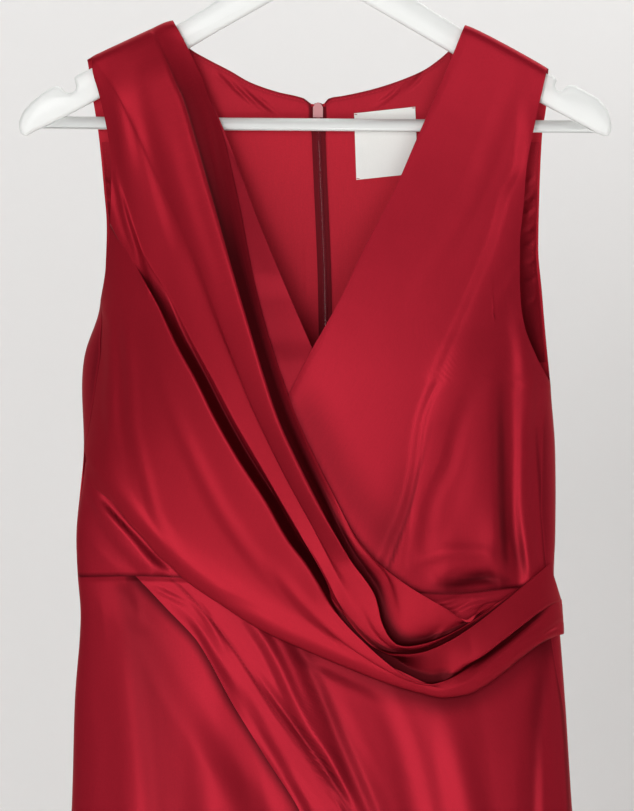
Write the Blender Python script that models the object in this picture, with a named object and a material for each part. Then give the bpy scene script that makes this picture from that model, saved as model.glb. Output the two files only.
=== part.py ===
"""Sleeveless maxi dress with a wrapped front and a draped cowl, on a flat clothes hanger.

Sizes in the tables are millimetres. x runs to the right of the front view, y to the back and
z up, with the origin in the crook of the hanger hook. "Drop" is the distance below the high
point of the shoulder, and "lift" is how far a layer stands out from the form of the dress.
"""
import bpy
import math

MM = 0.001

# Main sizes
SHOULDER_Z = -135.0        # height of the high shoulder point below the hook crook
HEM_DROP = 1400.0
WALL = 1.2                 # cloth wall
TRIM_WALL = 1.0            # facings, tape and label
GAP = 0.34                 # space at seams and between layers
LAYER = WALL + GAP         # from one cloth layer's middle to the next
SIDE_FLATNESS = 0.8        # under 1 squares the sections off a little
SEAM_ZONE = 0.3            # this close to the middle plane a wall's edge is cut square

# Shoulder roll over the hanger arm
ROLL_HEIGHT = 9.0
ROLL_SQUARENESS = 3.0

# Level sections of the form: half widths, depths, and the power that rounds the sides
# (0 keeps front and back flat and apart, 0.5 closes them in a round side).
# drop, left, right, front, back, side_power
SECTIONS = (
    (0.0, 186.0, 187.0, 11.0, 9.0, 0.00),
    (35.0, 181.0, 183.0, 12.0, 10.0, 0.02),
    (75.0, 172.0, 175.0, 15.0, 13.0, 0.10),
    (120.0, 165.0, 171.5, 21.0, 17.0, 0.22),
    (165.0, 159.5, 170.0, 29.0, 22.0, 0.34),
    (206.5, 160.0, 171.0, 35.0, 26.0, 0.46),
    (248.0, 173.0, 172.2, 39.0, 29.0, 0.50),
    (267.0, 174.4, 172.7, 40.0, 30.0, 0.50),
    (315.0, 172.4, 176.6, 38.0, 30.0, 0.50),
    (346.0, 175.0, 177.0, 35.0, 29.0, 0.50),
    (380.0, 178.0, 176.6, 31.0, 27.0, 0.50),
    (411.0, 176.8, 175.2, 29.0, 26.0, 0.50),
    (436.0, 174.6, 178.5, 30.0, 27.0, 0.50),
    (501.0, 179.0, 183.6, 35.0, 31.0, 0.50),
    (583.0, 181.4, 188.6, 42.0, 37.0, 0.50),
    (800.0, 203.0, 211.0, 58.0, 52.0, 0.50),
    (1100.0, 240.0, 247.0, 80.0, 72.0, 0.50),
    (1400.0, 280.0, 285.0, 98.0, 90.0, 0.50),
)

# Shoulder line: distance from the centre, drop on the left, drop on the right
SHOULDER_LINE = (
    (0.0, -1.5, 1.0),
    (106.0, -1.5, 1.0),
    (111.0, -0.6, 2.2),
    (125.0, 5.8, 8.5),
    (137.0, 11.4, 14.8),
    (151.0, 17.9, 22.4),
    (158.4, 21.3, 26.6),
    (166.0, 25.0, 31.0),
    (174.0, 30.0, 36.0),
)

# How far the side seams lie in front of the widest line: drop, left, right
SEAM_INSETS = (
    (206.5, 0.0, 0.0),
    (225.0, 5.8, 0.0),
    (248.0, 12.2, 0.0),
    (267.0, 10.6, 0.0),
    (302.0, 3.6, 9.4),
    (318.0, 0.0, 10.4),
    (353.0, 0.0, 11.6),
    (383.0, 0.0, 9.0),
    (399.0, 0.0, 6.6),
    (411.0, 0.0, 5.0),
    (456.0, 0.0, 7.2),
    (473.0, 0.0, 6.0),
    (516.0, 0.0, 1.4),
    (545.0, 0.0, 0.0),
    (1400.0, 0.0, 0.0),
)
LEFT_ARMHOLE_DROP = 206.5
RIGHT_ARMHOLE_DROP = 267.0

# Waist seam: x, drop
WAIST_SEAM = ((-178.0, 409.2), (-135.0, 408.4), (-96.0, 409.6), (-20.0, 414.0), (60.0, 420.0), (98.0, 421.6),
              (145.0, 417.4), (175.0, 415.0))

# Armhole edges: drop, x
LEFT_FRONT_ARMHOLE = ((24.8, -166.0), (32.6, -166.0), (50.8, -161.5), (62.9, -158.4), (80.7, -154.7),
                      (96.2, -152.4), (112.5, -151.7), (150.2, -152.7), (184.3, -155.6), (206.5, -160.0))
LEFT_BACK_ARMHOLE = ((27.6, -170.0), (58.0, -166.2), (86.0, -162.0), (127.0, -158.0), (156.0, -155.8),
                     (184.0, -156.6), (206.5, -160.0))
RIGHT_FRONT_ARMHOLE = ((34.2, 170.2), (58.5, 164.7), (80.7, 159.8), (108.8, 154.5), (137.6, 152.1),
                       (164.3, 149.5), (184.3, 149.3), (206.5, 150.1), (225.0, 153.1), (245.7, 161.3),
                       (267.0, 172.7))
RIGHT_BACK_ARMHOLE = ((34.8, 171.4), (62.0, 170.0), (84.0, 167.0), (125.0, 165.0), (169.0, 164.0),
                      (199.0, 166.5), (229.0, 169.0), (267.0, 172.7))

# Neck edges of the two fronts, going on to the waist under the other layers: drop, x
LEFT_FRONT_NECK = ((2.2, 109.4), (21.5, 99.9), (71.8, 74.7), (115.0, 54.4), (153.9, 33.0), (182.8, 20.5),
                   (233.1, -5.5), (272.3, -23.7), (405.0, -86.0))
RIGHT_FRONT_NECK = ((0.4, -106.6), (18.0, -95.6), (38.5, -82.9), (49.6, -75.5), (140.0, -39.5),
                    (230.9, -3.0), (412.0, 72.0))

# Back neck edge: x, drop
BACK_NECK = ((-106.5, -1.5), (-105.4, 0.6), (-102.4, 7.0), (-98.4, 13.4), (-94.0, 18.5), (-82.9, 25.2),
             (-64.4, 34.8), (-49.6, 43.2), (-29.7, 50.2), (-9.9, 55.0), (-3.0, 59.5), (4.0, 59.5),
             (9.0, 54.8), (19.8, 53.0), (39.6, 48.7), (59.4, 42.6), (79.2, 34.2), (89.2, 27.4),
             (96.2, 21.5), (101.0, 16.6), (105.2, 10.4), (108.3, 4.2), (109.4, 2.2))

# Middle line of the back, where the zip runs: drop, x
CENTRE_BACK = ((0.0, 0.0), (58.5, 0.6), (205.0, 5.9), (409.0, 8.0), (1400.0, 5.0))
BACK_NECK_DROP = 59.5
ZIP_END_DROP = 560.0
SLIDER_NOTCH = 1.3         # half opening between the backs where the slider passes
SLIDER_NOTCH_DROP = 74.0

# Wrap edge of the upper skirt front, and the hidden edge of the lower one: drop, x
WRAP_EDGE = ((408.0, -134.5), (418.5, -124.1), (433.2, -110.0), (447.3, -95.8), (455.8, -88.2),
             (583.0, -38.5), (700.0, 4.0), (850.0, 45.0), (1000.0, 74.0), (1200.0, 100.0), (1400.0, 118.0))
UNDER_SKIRT_APART = 8.0
UNDER_SKIRT_EDGE = ((408.0, 60.0), (600.0, 112.0), (900.0, 160.0), (1400.0, 205.0))

# Folds of the drape from its lower edge up to its neck edge. Each runs from the side, armhole
# or shoulder down to the pleats at the right side seam: x, drop, lift
DRAPE_FOLDS = (
    ("lower_edge", (
        (-165.8, 342.6, 3.6), (-145.0, 357.4, 3.8), (-119.4, 388.5, 3.5), (-95.8, 409.6, 3.5),
        (-50.3, 438.1, 3.5), (17.8, 472.1, 3.5), (55.5, 488.4, 3.5), (93.2, 497.3, 3.5),
        (123.6, 487.7, 3.0), (146.3, 472.9, 3.0), (173.5, 455.5, 2.5), (182.8, 452.1, 3.2))),
    ("edge_roll", (
        (-171.4, 315.0, 0.6), (-150.0, 342.0, 6.0), (-129.0, 366.0, 9.0), (-103.0, 392.0, 11.0),
        (-55.0, 428.0, 12.0), (18.5, 465.0, 12.0), (57.0, 481.8, 12.0), (92.0, 492.0, 11.0),
        (123.6, 482.6, 10.0), (146.5, 467.7, 8.0), (170.0, 451.6, 5.0), (183.0, 447.9, 3.4))),
    ("side_ridge", (
        (-160.5, 243.0, 0.0), (-147.0, 279.0, 4.0), (-131.0, 316.0, 7.0), (-114.0, 352.0, 9.0),
        (-88.0, 389.0, 10.0), (-45.9, 421.5, 10.0), (14.0, 454.0, 12.0), (60.0, 479.0, 13.0),
        (91.0, 489.0, 11.0), (113.0, 480.4, 9.0), (135.4, 465.8, 8.0), (154.0, 453.0, 7.0),
        (172.0, 446.2, 4.5), (182.8, 444.8, 3.4))),
    ("long_crest", (
        (-153.2, 150.2, 0.0), (-133.6, 184.3, 4.0), (-111.0, 226.4, 9.0), (-91.0, 266.4, 13.0),
        (-69.9, 304.1, 16.0), (-51.4, 338.2, 17.0), (-24.4, 382.6, 17.0), (2.8, 426.2, 17.0),
        (40.6, 462.5, 16.0), (68.0, 479.6, 14.0), (90.0, 485.4, 8.0), (102.5, 479.2, 6.0),
        (123.6, 466.9, 5.5), (146.3, 452.1, 5.0), (165.0, 443.6, 4.0), (182.0, 441.5, 3.4))),
    ("long_valley", (
        (-152.0, 127.3, 0.0), (-123.6, 182.8, 2.6), (-97.7, 227.2, 3.0), (-77.7, 260.5, 3.0),
        (-53.3, 308.6, 3.2), (-33.3, 345.6, 3.6), (-12.6, 382.6, 4.4), (3.7, 412.2, 5.0),
        (20.7, 435.9, 6.0), (40.7, 456.6, 7.4), (66.0, 474.0, 9.0), (91.0, 482.0, 11.0),
        (108.6, 472.6, 12.0), (123.6, 463.0, 12.0), (146.3, 447.6, 10.0), (165.0, 438.0, 7.0),
        (180.2, 435.0, 3.4))),
    ("middle_panel", (
        (-154.3, 82.9, 0.0), (-123.6, 153.2, 3.6), (-94.0, 212.4, 5.0), (-68.0, 256.8, 6.0),
        (-40.7, 308.6, 7.0), (-20.0, 349.3, 8.0), (-1.5, 382.6, 8.0), (14.8, 412.2, 8.0),
        (25.6, 432.4, 8.0), (38.6, 450.8, 8.0), (58.0, 466.0, 8.4), (90.0, 477.6, 7.0),
        (108.6, 468.4, 6.5), (131.0, 453.6, 6.0), (153.9, 437.0, 5.0), (176.8, 428.4, 3.4))),
    ("upper_panel", (
        (-160.2, 55.5, 0.0), (-123.6, 116.2, 4.4), (-97.7, 168.0, 6.0), (-75.5, 212.4, 7.0),
        (-49.6, 264.2, 8.0), (-28.9, 308.6, 9.0), (-10.4, 349.3, 9.0), (5.9, 382.6, 9.0),
        (19.2, 409.0, 9.0), (29.0, 431.0, 9.0), (41.4, 448.8, 9.6), (58.6, 462.0, 11.6),
        (90.0, 469.6, 14.0), (108.6, 460.4, 14.0), (131.0, 444.4, 12.0), (153.0, 427.0, 9.0),
        (172.6, 415.6, 3.2))),
    ("first_pleat", (
        (-166.0, 24.8, 0.0), (-140.6, 64.0, 3.6), (-112.5, 112.0, 6.0), (-90.0, 158.0, 8.0),
        (-68.6, 203.0, 10.0), (-47.4, 252.9, 11.0), (-26.6, 302.7, 11.5), (-12.6, 341.9, 11.5),
        (3.7, 374.0, 11.0), (17.0, 397.0, 10.0), (28.9, 418.4, 9.0), (36.3, 433.6, 9.0),
        (44.6, 446.4, 10.6), (60.4, 458.0, 13.4), (90.0, 461.6, 15.0), (101.0, 455.6, 15.0),
        (116.1, 445.6, 15.0), (131.2, 431.4, 13.0), (146.3, 417.4, 10.0), (168.9, 403.4, 3.2))),
    ("shoulder_pleat", (
        (-124.5, 5.6, 0.0), (-114.7, 26.6, 5.0), (-104.9, 50.0, 9.0), (-92.8, 84.8, 12.0),
        (-83.6, 116.2, 14.0), (-62.9, 195.4, 15.0), (-41.4, 250.9, 15.0), (-20.3, 303.0, 15.0),
        (-7.5, 338.2, 15.0), (22.4, 394.6, 14.0), (37.6, 417.4, 13.0), (45.1, 432.2, 12.0),
        (50.6, 443.0, 12.0), (63.0, 452.0, 12.0), (90.0, 454.6, 12.0), (114.0, 443.6, 12.6),
        (120.0, 438.6, 12.0), (131.5, 428.6, 10.6), (146.3, 414.4, 7.0), (168.9, 401.4, 3.0))),
    ("deep_valley", (
        (-116.2, 1.6, 0.0), (-108.8, 20.0, 2.4), (-101.4, 36.3, 2.8), (-88.8, 70.3, 3.0),
        (-75.5, 116.2, 3.0), (-54.8, 195.4, 3.2), (-36.6, 250.9, 3.6), (-16.6, 302.7, 4.0),
        (-3.6, 338.2, 4.4), (23.6, 388.0, 4.8), (38.6, 409.0, 5.0), (49.0, 426.0, 5.0),
        (58.0, 441.0, 5.4), (68.0, 449.0, 6.0), (90.0, 449.6, 8.0), (112.8, 442.4, 10.6),
        (118.2, 436.6, 10.0), (131.8, 426.2, 8.4), (146.3, 412.6, 5.0), (168.9, 399.6, 2.8))),
    ("neck_panel", (
        (-111.0, -0.6, 0.0), (-104.3, 12.6, 2.6), (-96.2, 28.9, 3.4), (-82.9, 64.4, 4.6),
        (-68.8, 116.2, 5.4), (-52.4, 182.8, 6.0), (-34.4, 244.0, 6.4), (-15.4, 299.5, 7.0),
        (1.6, 345.0, 7.6), (23.0, 380.0, 8.0), (42.0, 402.6, 8.6), (60.0, 418.6, 9.0),
        (76.0, 431.0, 9.4), (91.0, 441.0, 9.0), (111.8, 441.0, 8.8), (116.4, 434.9, 8.4),
        (123.6, 429.2, 7.0), (132.3, 423.8, 6.0), (146.3, 410.8, 5.0), (168.9, 397.8, 2.6))),
    ("neck_edge", (
        (-106.6, -1.4, 0.0), (-94.7, 18.5, 2.4), (-83.6, 44.8, 3.0), (-71.8, 75.5, 3.6),
        (-62.2, 116.2, 4.0), (-48.0, 186.0, 4.2), (-29.6, 252.0, 4.6), (-10.4, 308.0, 5.0),
        (4.4, 346.0, 5.4), (28.5, 382.6, 6.0), (45.1, 398.9, 6.4), (63.2, 412.9, 6.8),
        (81.3, 424.8, 7.0), (92.0, 430.6, 7.0), (110.8, 439.4, 6.8), (114.6, 432.8, 6.6),
        (123.6, 426.6, 5.6), (132.7, 421.8, 4.6), (146.3, 409.0, 3.6), (168.9, 396.0, 2.4))),
)
# Rows of the wall between one fold and the next, from the lower edge up, as shares of the way
FOLD_ROWS = (
    (0.0, 0.5),
    (0.0, 0.5),
    (0.0, 0.18, 0.364, 0.51, 0.7),
    (0.0, 0.333, 0.667),
    (0.0, 0.5),
    (0.0, 0.5),
    (0.0, 0.5),
    (0.0, 0.333, 0.667),
    (0.0, 0.333, 0.667),
    (0.0, 0.5),
    (0.0, 0.5, 1.0),
)
DRAPE_COLUMNS = 38
DRAPE_CORNER_FOLD = 7.0    # the fold that starts at the shoulder tip
DRAPE_SEAM_END = 318.0     # the drape leaves the side seam here
DRAPE_SHIFT_SHARE = 0.08   # over this share of its length it is eased on to its side edge
DRAPE_SEAM_SPACE = 0.4     # extra space, since its rows don't match those of the back
ARMHOLE_END_SPACE = 1.0    # and more of it where front and back part at the armhole
DRAPE_TURN_X = 89.0        # where the folds turn up towards the side seam
DRAPE_TURN_SHARE = 0.78    # share of the columns before the turn
DRAPE_START_CROWD = 1.35   # crowds the columns where the shoulder rolls over
DRAPE_END_CROWD = 1.25     # and where the pleats turn round the side

# Soft folds, as lines down the cloth. Height is the relief in mm, widths are how far it
# reaches to each side: name, line of (drop, x), left_width, right_width, height
LEFT_FRONT_FOLDS = (
    ("dart_fold", ((80.0, 158.0), (108.0, 154.6), (128.0, 145.0), (161.0, 135.4), (190.0, 123.6),
                   (225.0, 108.6), (261.0, 93.2), (297.0, 80.7), (338.0, 75.3), (382.0, 60.0),
                   (403.0, 51.8)), 26.0, 7.0, 3.0),
    ("side_valley", ((262.0, 143.0), (279.0, 142.8), (340.0, 143.0), (405.0, 148.0)), 11.0, 9.0, -4.0),
    ("side_ridge", ((225.0, 148.0), (262.0, 148.0), (300.0, 154.0), (350.0, 155.0)), 7.0, 8.0, 2.4),
    ("waist_dip", ((372.0, 116.0), (392.0, 118.0), (409.0, 120.0)), 26.0, 20.0, -3.0),
)
RIGHT_FRONT_FOLDS = (
    ("under_drape_ridge", ((352.0, -164.0), (368.0, -154.0), (388.0, -139.0), (404.0, -122.0)),
     12.0, 12.0, 3.0),
)
SKIRT_FOLDS = (
    ("left_side_ridge", ((436.0, -148.0), (583.0, -136.0), (900.0, -158.0), (1400.0, -196.0)),
     26.0, 22.0, 17.0),
    ("left_front_ridge", ((452.0, -86.0), (583.0, -72.0), (900.0, -86.0), (1400.0, -104.0)),
     30.0, 30.0, 20.0),
    ("wrap_ridge", ((436.0, -38.0), (500.0, -8.0), (583.0, 34.0), (900.0, 96.0), (1400.0, 150.0)),
     14.0, 26.0, 18.0),
    ("centre_ridge", ((583.0, -30.0), (900.0, -6.0), (1400.0, 10.0)), 26.0, 26.0, 22.0),
    ("right_front_ridge", ((480.0, 100.0), (583.0, 112.0), (900.0, 150.0), (1400.0, 196.0)),
     26.0, 24.0, 20.0),
    ("right_side_ridge", ((476.0, 160.0), (583.0, 168.0), (900.0, 200.0), (1400.0, 246.0)),
     18.0, 14.0, 12.0),
)
BACK_SKIRT_FOLDS = (
    ("left_side_ridge", ((440.0, -140.0), (900.0, -170.0), (1400.0, -215.0)), 28.0, 26.0, 18.0),
    ("left_ridge", ((440.0, -76.0), (900.0, -96.0), (1400.0, -118.0)), 30.0, 28.0, 22.0),
    ("left_centre_ridge", ((520.0, -20.0), (900.0, -26.0), (1400.0, -34.0)), 24.0, 22.0, 14.0),
    ("right_centre_ridge", ((520.0, 38.0), (900.0, 44.0), (1400.0, 52.0)), 22.0, 26.0, 14.0),
    ("right_ridge", ((440.0, 92.0), (900.0, 116.0), (1400.0, 134.0)), 28.0, 30.0, 22.0),
    ("right_side_ridge", ((440.0, 148.0), (900.0, 182.0), (1400.0, 226.0)), 26.0, 24.0, 17.0),
)
BACK_BODICE_FOLDS = (
    ("left_dart", ((212.0, -26.0), (300.0, -40.0), (409.0, -60.0)), 14.0, 14.0, -2.6),
    ("right_dart", ((212.0, 36.0), (300.0, 52.0), (409.0, 74.0)), 14.0, 14.0, -2.6),
)
FOLD_GROWTH_DROP = 820.0   # over this length a skirt fold grows to its full height
FOLD_FADE = 30.0           # a bodice fold fades in and out over this length
SIDE_FADE = 16.0           # folds die out this close to a side seam

# Rows of the cloth walls: those of the shoulder roll as shares of the height, then even ones,
# as many on both sides of a seam so that their edges match
SHOULDER_ROWS = (0.0, 0.0012, 0.005, 0.011, 0.022)
BODICE_ROWS = 15
SKIRT_ROWS = 14

# The right front under the drape keeps clear of it
UNDER_INSET = LAYER + 3.8           # inside the drape's side edge
UNDER_TIP_INSET = 6.0               # further inside at the shoulder tip
UNDER_SHOULDER_SPACE = 1.2          # deeper under the shoulder roll
UNDER_ARMHOLE_SPACE = 1.8           # deeper where the side seam meets the armhole
UNDER_SHOULDER_DROPS = (1.2, 3.4)   # top edge lower, at the neck and away from it

# Lift of what lies inside the back
TRIM_LIFT = -(WALL + TRIM_WALL) * 0.5 - GAP
ARMHOLE_FACING_LIFT = TRIM_LIFT - 1.4   # hangs a little free of the back

# Label, seen from the front: corners as x, drop
LABEL_CORNERS = ((27.5, 66.5), (72.8, 61.6), (74.9, 110.8), (29.2, 115.6))

# Hanger outline, left half then right half, clockwise in the front view: x, drop
HANGER_TOP = ((-104.0, 1.9), (-84.4, -9.4), (-60.0, -26.0), (-38.0, -43.0), (-24.0, -56.0), (-12.0, -66.0),
              (0.0, -69.0), (12.0, -66.0), (24.0, -56.0), (38.0, -43.0), (60.0, -26.0), (84.4, -9.4),
              (104.0, 2.6), (112.0, 7.5))
HANGER_RIGHT_END = ((170.6, 38.0), (173.4, 38.4), (176.4, 41.0), (177.1, 43.4), (176.0, 46.6), (177.1, 49.4),
                    (179.6, 50.8), (181.9, 49.7), (184.7, 47.1), (188.1, 46.0), (191.5, 46.8), (199.4, 51.1),
                    (207.9, 56.2), (211.9, 60.2), (215.3, 65.3), (217.0, 71.0), (217.9, 76.6), (217.0, 81.7),
                    (215.6, 84.0), (213.0, 83.7), (206.8, 81.4))
HANGER_BOTTOM = ((189.8, 72.1), (170.6, 61.9), (100.0, 22.6), (70.0, 5.0), (32.2, -17.0), (12.0, -30.0),
                 (0.0, -34.5), (-12.0, -30.0), (-32.2, -17.0), (-71.8, 5.2), (-94.3, 18.5), (-166.6, 58.8),
                 (-185.8, 69.2))
HANGER_LEFT_END = ((-202.2, 77.1), (-208.5, 79.9), (-214.7, 83.3), (-218.7, 83.3), (-220.4, 77.7),
                   (-220.1, 72.6), (-217.6, 66.4), (-211.9, 59.6), (-204.5, 53.4), (-196.6, 48.2),
                   (-191.5, 46.8), (-188.7, 48.2), (-185.6, 51.1), (-182.5, 52.2), (-178.8, 50.2),
                   (-177.9, 47.1), (-179.1, 43.1), (-179.3, 40.3), (-177.0, 38.6), (-171.2, 36.0),
                   (-166.6, 33.6))
HANGER_THICKNESS = 12.0
HANGER_EDGE = 2.6
BAR_RADIUS = 4.7
BAR_SIDES = 18
BAR_LEFT_DROP = 73.8
BAR_RIGHT_DROP = 76.7
# The slanted undersides of the arms that the bar's ends meet: x, drop
ARM_UNDERSIDE_LEFT = ((-202.2, 77.1), (-166.6, 58.8))
ARM_UNDERSIDE_RIGHT = ((206.8, 81.4), (170.6, 61.9))

HOOK_WIRE = 2.0
HOOK_CREST = 19.0          # crook radius to the inside of the wire
HOOK_SIDES = 10

# Zip
TAPE_WIDTH = 3.6
SLIDER_SIZE = (7.4, 2.2, 11.0)
SLIDER_DROP = 64.0
PULL_LENGTH = 24.0
PULL_WIDTH = 4.2
PULL_THICKNESS = 1.2
PIN_RADIUS = 0.55
PULL_EYE_RADIUS = 0.95
PULL_EYE_OUTER = 2.1
LUG_WIDTH = 0.9


def clear_scene():
    for item in list(bpy.data.objects):
        bpy.data.objects.remove(item, do_unlink=True)


def limited_slope(before, after):
    """Slope at a point from its two neighbours, with no overshoot."""
    if before * after <= 0.0:
        return 0.0
    return 2.0 * before * after / (before + after)


def smooth_value(rows, column, place):
    """Read one column of a table, smoothly between its rows. Column 0 holds the place."""
    if place <= rows[0][0]:
        return rows[0][column]
    if place >= rows[-1][0]:
        return rows[-1][column]
    k = 0
    while rows[k + 1][0] < place:
        k += 1
    slopes = []
    for j in (k - 1, k, k + 1):
        if 0 <= j < len(rows) - 1:
            slopes.append((rows[j + 1][column] - rows[j][column]) / (rows[j + 1][0] - rows[j][0]))
        else:
            slopes.append(None)
    here = slopes[1]
    first = here if slopes[0] is None else limited_slope(slopes[0], here)
    last = here if slopes[2] is None else limited_slope(here, slopes[2])
    span = rows[k + 1][0] - rows[k][0]
    t = (place - rows[k][0]) / span
    return ((2 * t ** 3 - 3 * t ** 2 + 1) * rows[k][column] + (t ** 3 - 2 * t ** 2 + t) * span * first
            + (3 * t ** 2 - 2 * t ** 3) * rows[k + 1][column] + (t ** 3 - t ** 2) * span * last)


def soft_step(place, start, end):
    t = min(max((place - start) / (end - start), 0.0), 1.0)
    return t * t * (3.0 - 2.0 * t)


def mix(a, b, t):
    return a + (b - a) * t


def half_width(drop, on_left):
    return smooth_value(SECTIONS, 1 if on_left else 2, drop)


def form_depth(drop, at_front):
    return smooth_value(SECTIONS, 3 if at_front else 4, drop)


def shoulder_drop(x):
    return smooth_value(SHOULDER_LINE, 1 if x < 0.0 else 2, abs(x))


def shoulder_roll(below):
    """How far the cloth has turned from the seam on top to hanging down, 0 to 1."""
    t = 1.0 - min(max(below / ROLL_HEIGHT, 0.0), 1.0)
    return (1.0 - t ** ROLL_SQUARENESS) ** (1.0 / ROLL_SQUARENESS)


def form_y(x, drop, lift, at_front):
    """Depth of a layer of the front or back at a place seen from the front."""
    width = half_width(drop, x < 0.0) + lift
    share = min(abs(x) / width, 1.0)
    power = smooth_value(SECTIONS, 5, drop)
    inside = max(1.0 - share ** (2.0 / SIDE_FLATNESS), 0.0)
    depth = (form_depth(drop, at_front) + lift) * (inside ** power if power > 0.0 else 1.0)
    depth *= shoulder_roll(drop - shoulder_drop(x) + lift)
    back_shift = widest_line_y(drop, x < 0.0) * share ** 3
    return back_shift - depth if at_front else back_shift + depth


def widest_line_y(drop, on_left):
    """The widest line lies behind the middle plane where the side seam is in front of it."""
    inset = smooth_value(SEAM_INSETS, 1 if on_left else 2, drop)
    if inset <= 0.0:
        return 0.0
    share = 1.0 - inset / half_width(drop, on_left)
    power = smooth_value(SECTIONS, 5, drop)
    return form_depth(drop, True) * (1.0 - share ** (2.0 / SIDE_FLATNESS)) ** power / share ** 3


def form_point(x, drop, lift, at_front):
    return (x, form_y(x, drop, lift, at_front), SHOULDER_Z - drop)


def side_angle(x, drop, lift=0.0):
    """Angle round the section, 0 at the left side and 180 degrees at the right side."""
    width = half_width(drop, x < 0.0) + lift
    share = min(abs(x) / width, 1.0) ** (1.0 / SIDE_FLATNESS)
    angle = math.acos(share)
    return angle if x < 0.0 else math.pi - angle


def angle_x(angle, drop, lift=0.0):
    c = math.cos(angle)
    width = half_width(drop, c > 0.0) + lift
    return -math.copysign(width * abs(c) ** SIDE_FLATNESS, c)


def seam_x(drop, on_left):
    inset = smooth_value(SEAM_INSETS, 1 if on_left else 2, drop)
    return (inset - half_width(drop, True)) if on_left else (half_width(drop, False) - inset)


def fold_relief(folds, x, drop, growth=0.0):
    """Sum of the soft folds of a table at a place; growth is the length a fold grows over."""
    total = 0.0
    for name, line, left_width, right_width, height in folds:
        start, end = line[0][0], line[-1][0]
        if drop < start - FOLD_FADE or (not growth and drop > end + FOLD_FADE):
            continue
        line_x = smooth_value(line, 1, drop)
        width = left_width if x < line_x else right_width
        size = height
        if growth:
            share = min(max((drop - start) / growth, 0.0), 1.0)
            size = height * mix(0.15, 1.0, share) * soft_step(drop, start - 10.0, start + 60.0)
            width *= mix(0.8, 1.5, share)
        else:
            size *= soft_step(drop, start - FOLD_FADE, start + 20.0)
            size *= 1.0 - 0.5 * soft_step(drop, end, end + FOLD_FADE)
        away = abs(x - line_x) / width
        if away < 1.0:
            total += size * (0.5 + 0.5 * math.cos(math.pi * away))
    return total


def side_fade(x, drop):
    """Folds and extra layers die out at the side seams."""
    room = abs(seam_x(drop, x < 0.0)) - abs(x)
    return soft_step(room, 0.0, SIDE_FADE)


def waist_drop(x):
    return smooth_value(WAIST_SEAM, 1, x)


def is_on_widest_line(point):
    """True at the side and shoulder edges, which are cut square."""
    x, y, z = point
    drop = SHOULDER_Z - z
    on_shoulder = drop < shoulder_drop(x) + 2.0 * LAYER
    return abs(y) < SEAM_ZONE and (on_shoulder or half_width(drop, x < 0.0) - abs(x) < SEAM_ZONE)


def grid_normals(rows):
    """Unit normal at each point of a grid, from its neighbours."""
    count, width = len(rows), len(rows[0])
    normals = []
    for i in range(count):
        line = []
        for j in range(width):
            a, b = rows[max(i - 1, 0)][j], rows[min(i + 1, count - 1)][j]
            c, d = rows[i][max(j - 1, 0)], rows[i][min(j + 1, width - 1)]
            u = [b[k] - a[k] for k in range(3)]
            v = [d[k] - c[k] for k in range(3)]
            n = (u[1] * v[2] - u[2] * v[1], u[2] * v[0] - u[0] * v[2], u[0] * v[1] - u[1] * v[0])
            if is_on_widest_line(rows[i][j]):
                n = (n[0], 0.0, n[2])
            size = math.sqrt(sum(e * e for e in n)) or 1.0
            line.append([e / size for e in n])
        normals.append(line)
    return normals


def enclosed_volume(points, faces):
    """Six times the volume inside a closed set of faces, below 0 where they point inwards."""
    total = 0.0
    for face in faces:
        a = points[face[0]]
        for m in range(1, len(face) - 1):
            b, c = points[face[m]], points[face[m + 1]]
            total += (a[0] * (b[1] * c[2] - b[2] * c[1]) + a[1] * (b[2] * c[0] - b[0] * c[2])
                      + a[2] * (b[0] * c[1] - b[1] * c[0]))
    return total


def make_object(name, points, faces, material, smooth=True, origin=(0.0, 0.0, 0.0)):
    """A named solid from points in mm; its origin is moved to the place given in mm."""
    if enclosed_volume(points, faces) < 0.0:
        faces = [tuple(reversed(face)) for face in faces]
    mesh = bpy.data.meshes.new(name)
    mesh.from_pydata([[(p[k] - origin[k]) * MM for k in range(3)] for p in points], [], faces)
    mesh.validate()
    mesh.update()
    item = bpy.data.objects.new(name, mesh)
    item.location = [c * MM for c in origin]
    bpy.context.collection.objects.link(item)
    mesh.materials.append(material)
    if smooth:
        for polygon in mesh.polygons:
            polygon.use_smooth = True
    return item


def cloth_wall(name, rows, material, wall=WALL):
    """A closed cloth wall, half its thickness to each side of a grid of points."""
    normals = grid_normals(rows)
    count, width = len(rows), len(rows[0])
    points = []
    for side in (0.5, -0.5):
        for i in range(count):
            for j in range(width):
                points.append([rows[i][j][k] + side * wall * normals[i][j][k] for k in range(3)])
    under = count * width
    faces = []
    for i in range(count - 1):
        for j in range(width - 1):
            a = i * width + j
            b, c, d = a + 1, a + width + 1, a + width
            faces.append((a, d, c, b))
            faces.append((a + under, b + under, c + under, d + under))
    rim = [j for j in range(width)]
    rim += [i * width + width - 1 for i in range(1, count)]
    rim += [(count - 1) * width + j for j in range(width - 2, -1, -1)]
    rim += [i * width for i in range(count - 2, 0, -1)]
    for k, a in enumerate(rim):
        b = rim[(k + 1) % len(rim)]
        faces.append((a, b, b + under, a + under))
    return make_object(name, points, faces, material)


def fabric(name, color, roughness=0.42, metallic=0.0):
    material = bpy.data.materials.new(name)
    material.use_nodes = True
    shader = material.node_tree.nodes["Principled BSDF"]
    shader.inputs["Base Color"].default_value = (*color, 1.0)
    shader.inputs["Roughness"].default_value = roughness
    shader.inputs["Metallic"].default_value = metallic
    return material


def eased_steps(count, first, ease):
    """Row places from 0 to 1; `first` holds those of the shoulder roll, then even steps."""
    rest = [mix(first[-1], 1.0, (k / count) ** ease) for k in range(1, count + 1)]
    return list(first) + rest


def straight_drop(edge_a, edge_b, x):
    return mix(edge_a[1], edge_b[1], (x - edge_a[0]) / (edge_b[0] - edge_a[0]))


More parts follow.
